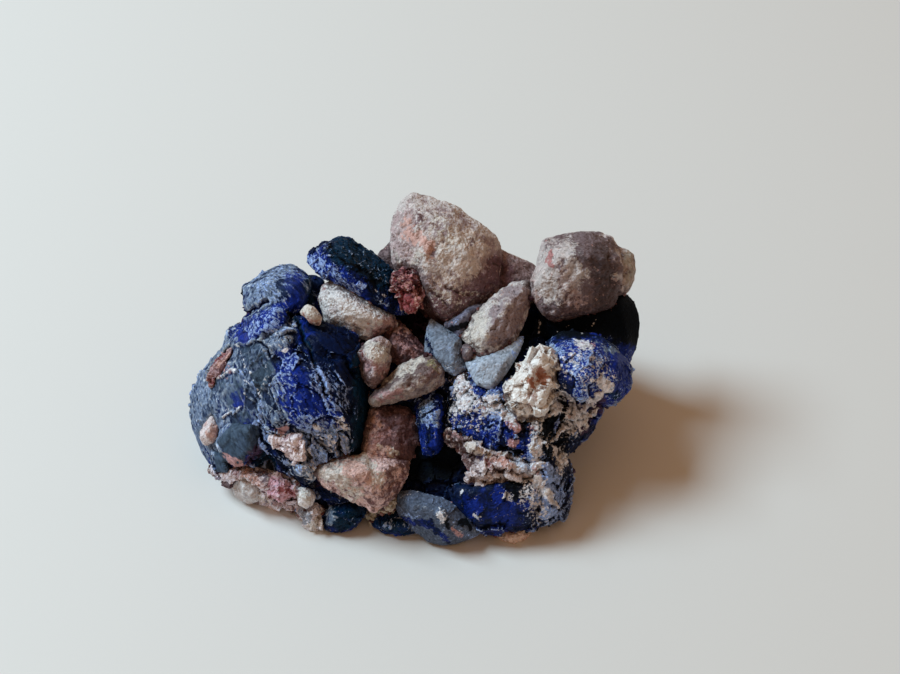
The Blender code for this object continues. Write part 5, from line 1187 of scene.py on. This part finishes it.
prism = step(strewn_tree, "GeometryNodeMeshCone", {
    "Vertices": 6, "Radius Top": PRISM_TOP, "Radius Bottom": 0.5, "Depth": 1.0})
crumb = step(strewn_tree, "GeometryNodeMeshIcoSphere", {"Radius": 0.5, "Subdivisions": 1})
unit = step(strewn_tree, "GeometryNodeSwitch", {
    "Switch": given["Round crumb"], "False": prism, "True": crumb}, input_type="GEOMETRY")
sunk = maths(strewn_tree, "MULTIPLY", given["Sunk"], -1.0)
unit = step(strewn_tree, "GeometryNodeTransform", {
    "Geometry": unit, "Translation": step(strewn_tree, "ShaderNodeCombineXYZ", {"Z": sunk})})
tall = maths(strewn_tree, "MULTIPLY", given["Crystal size"], given["Slimness"])
usual = step(strewn_tree, "ShaderNodeCombineXYZ", {
    "X": given["Crystal size"], "Y": given["Crystal size"], "Z": tall})
strewn = step(strewn_tree, "GeometryNodeInstanceOnPoints", {
    "Points": spots["Points"], "Instance": unit, "Rotation": spots["Rotation"],
    "Scale": vectors(strewn_tree, "MULTIPLY", usual, chance(LEAST_SIZES, MOST_SIZES, 10.0))})
lean = scaled(strewn_tree, chance((-1, -1, -3), (1, 1, 3), 20.0), given["Lean"])
strewn = step(strewn_tree, "GeometryNodeRotateInstances", {"Instances": strewn, "Rotation": lean})
for label, offset in (("tint", 30.0), ("shard", 40.0)):
    strewn = noted(strewn_tree, strewn, label, chance(0.0, 1.0, offset, "FLOAT"), "INSTANCE")
real = step(strewn_tree, "GeometryNodeRealizeInstances", {"Geometry": strewn})
jitter = step(strewn_tree, "ShaderNodeTexNoise", {
    "Vector": here(strewn_tree), "Scale": JITTER_SCALE, "Detail": 1.0}).node.outputs["Color"]
jitter = scaled(strewn_tree, vectors(strewn_tree, "SUBTRACT", jitter, (0.5, 0.5, 0.5)),
                maths(strewn_tree, "MULTIPLY", given["Crystal size"], JITTER))
real = above_table(strewn_tree, moved(strewn_tree, real, Offset=jitter))
strewn_tree.links.new(step(strewn_tree, "GeometryNodeSetMaterial", {
    "Geometry": real, "Material": given["Finish"]}), made["Geometry"])


SPECK = 0.2 * MM


def strewn_finish(name, tints, rough, gloss):
    """One plain tint per crystal, out of a list, with fine grain over it."""
    material, tree, place = new_finish(name)
    ramp = step(tree, "ShaderNodeValToRGB", {"Fac": felt(tree, "tint")}).node
    ramp.color_ramp.interpolation = "CONSTANT"
    while len(ramp.color_ramp.elements) < len(tints):
        ramp.color_ramp.elements.new(0.5)
    for at, (stop, tint) in enumerate(zip(ramp.color_ramp.elements, tints)):
        stop.position, stop.color = at / len(tints), (*tint, 1)
    grains = group(tree, grain_group, place=place, color=ramp.outputs["Color"], size=SPECK, contrast=0.4)
    rough = weighed(tree, rough, (felt(tree, "tint"), 0.2))
    facets = group(tree, facet_group, place=place, size=SPECK, tilt=0.4)
    finish_ends(tree, grains["Color"], rough, grains, facets, depth=0.03, gloss=gloss)
    return material


def strewn_on(mesh, name, slot, finish, **values):
    """Strews crystals over a finished surface as a piece of their own."""
    piece = in_scene(name, mesh.copy())
    skinned(piece, strewn_tree, finish, **values)
    piece.data.materials.clear()
    piece.data.materials.append(finish)
    flat_or_smooth(piece, False)
    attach(piece, "root")


def contact_strips(hosts, least):
    """Only the strips of finished pieces that lie close to another piece, as one mesh."""
    places, corners, near, start = [], [], [], 0
    for host in hosts:
        mesh = host.data
        places.append(rows_of(mesh))
        near.append(np.zeros(len(mesh.vertices)))
        mesh.attributes["contact"].data.foreach_get("value", near[-1])
        corners += [[start + c for c in face.vertices] for face in mesh.polygons
                    if near[-1][face.vertices[0]] > least]
        start += len(mesh.vertices)
    mesh = bpy.data.meshes.new("contact_strips")
    mesh.from_pydata(np.concatenate(places), [], corners)
    mesh.attributes.new("contact", "FLOAT", "POINT").data.foreach_set("value", np.concatenate(near))
    return mesh


CHALK_CRUMBS = strewn_finish("chalk_crumbs", [
    (0.80, 0.80, 0.83), (0.74, 0.71, 0.71), (0.82, 0.83, 0.86), (0.64, 0.54, 0.55),
    (0.58, 0.63, 0.76), (0.50, 0.33, 0.34), (0.80, 0.79, 0.81)], rough=0.6, gloss=0.3)
RUSTY_CRUMBS = strewn_finish("rusty_crumbs", [
    (0.56, 0.46, 0.45), (0.34, 0.15, 0.15), (0.20, 0.10, 0.11), (0.12, 0.035, 0.04),
    (0.44, 0.28, 0.28), (0.08, 0.045, 0.05), (0.66, 0.60, 0.58), (0.006, 0.012, 0.08),
    (0.05, 0.02, 0.025)], rough=0.6, gloss=0.3)
SEAM_FILLING = strewn_finish("seam_filling", [
    (0.10, 0.045, 0.05), (0.20, 0.09, 0.095), (0.05, 0.02, 0.028), (0.30, 0.17, 0.17),
    (0.14, 0.07, 0.085), (0.07, 0.03, 0.035), (0.24, 0.10, 0.10)], rough=0.7, gloss=0.25)
for host, label, least in ((right, "right", 0.3), (left, "left", 0.5)):
    strewn_on(host.data, label + "_mass_microcrystals", "azurite", host.data.materials[0],
              where="studs", from_amount=least, spacing=0.55, crystal_size=0.52,
              slimness=0.7, lean=0.4, sunk=0.45, seed=3)
strewn_on(right.data, "right_mass_chalk_crumbs", "pale_stone", CHALK_CRUMBS,
          where="chalk", from_amount=0.85, spacing=0.5, crystal_size=0.75, slimness=0.35, lean=0.7,
          sunk=0.25, round_crumb=True, seed=7)
stones = [bpy.data.objects[node + "_natural"] for node in (
    "peak_stone", "brown_wedge", "white_pebble", "small_pebble", "long_pebble", "leaning_pebble",
    "boot_stone", "knob_stone", "mauve_lens", "corner_matrix", "foot_matrix", "tan_cement", "stub_stone")]
strewn_on(contact_strips([left, right], least=0.4), "rusty_crumbs", "pink_stone", RUSTY_CRUMBS,
          where="contact", from_amount=1.25, spacing=0.42, crystal_size=0.6, slimness=0.8, lean=3.0,
          sunk=0.2, round_crumb=True, clumping=0.9, seed=11)
strewn_on(contact_strips(stones, least=0.7), "seam_filling", "mauve_stone", SEAM_FILLING,
          where="contact", from_amount=0.8, spacing=0.4, crystal_size=0.66, slimness=0.7, lean=3.0,
          sunk=0.2, round_crumb=True, clumping=0.5, seed=13)

# ---------------------------------------------------------------- the stage
# A plain pale table top, one broad cool window light from the left and a
# weak warm glow from the room. The camera looks down at 45 degrees.
FLOOR_HALF = 1.5
corners = [(x * FLOOR_HALF, y * FLOOR_HALF, 0) for x, y in ((-1, -1), (1, -1), (1, 1), (-1, 1))]
floor_mesh = bpy.data.meshes.new("table_top")
floor_mesh.from_pydata(corners, [], [(0, 1, 2, 3)])
paint = bpy.data.materials.new("pale_table_top")
paint.use_nodes = True
plain = paint.node_tree.nodes["Principled BSDF"].inputs
plain["Base Color"].default_value, plain["Roughness"].default_value = (0.76, 0.76, 0.75, 1), 0.55
floor_mesh.materials.append(paint)
in_scene("table_top", floor_mesh)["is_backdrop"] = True

window = bpy.data.lights.new("window", "AREA")
window.shape, window.size, window.size_y = "RECTANGLE", 0.24, 0.24
window.energy, window.color = 3.6, (0.68, 0.89, 1.0)
window_object = in_scene("window", window)
window_object.location = (-0.36, 0.10, 0.46)
window_object.rotation_euler = (-window_object.location).to_track_quat("-Z", "Y").to_euler()

room = bpy.data.worlds.new("warm room")
room.use_nodes = True
room.node_tree.nodes["Background"].inputs["Color"].default_value = (0.33, 0.20, 0.115, 1)
bpy.context.scene.world = room
bpy.context.scene.view_settings.view_transform = "Standard"

camera = bpy.data.cameras.new("camera")
camera.lens, camera.sensor_width, camera.clip_start, camera.clip_end = 80, 36, 0.01, 10
camera_object = in_scene("camera", camera)
camera_object.location = (0.00394, -0.15316, 0.17072)
camera_object.rotation_euler = (math.radians(45), 0, 0)
bpy.context.scene.camera = camera_object

low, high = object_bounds()
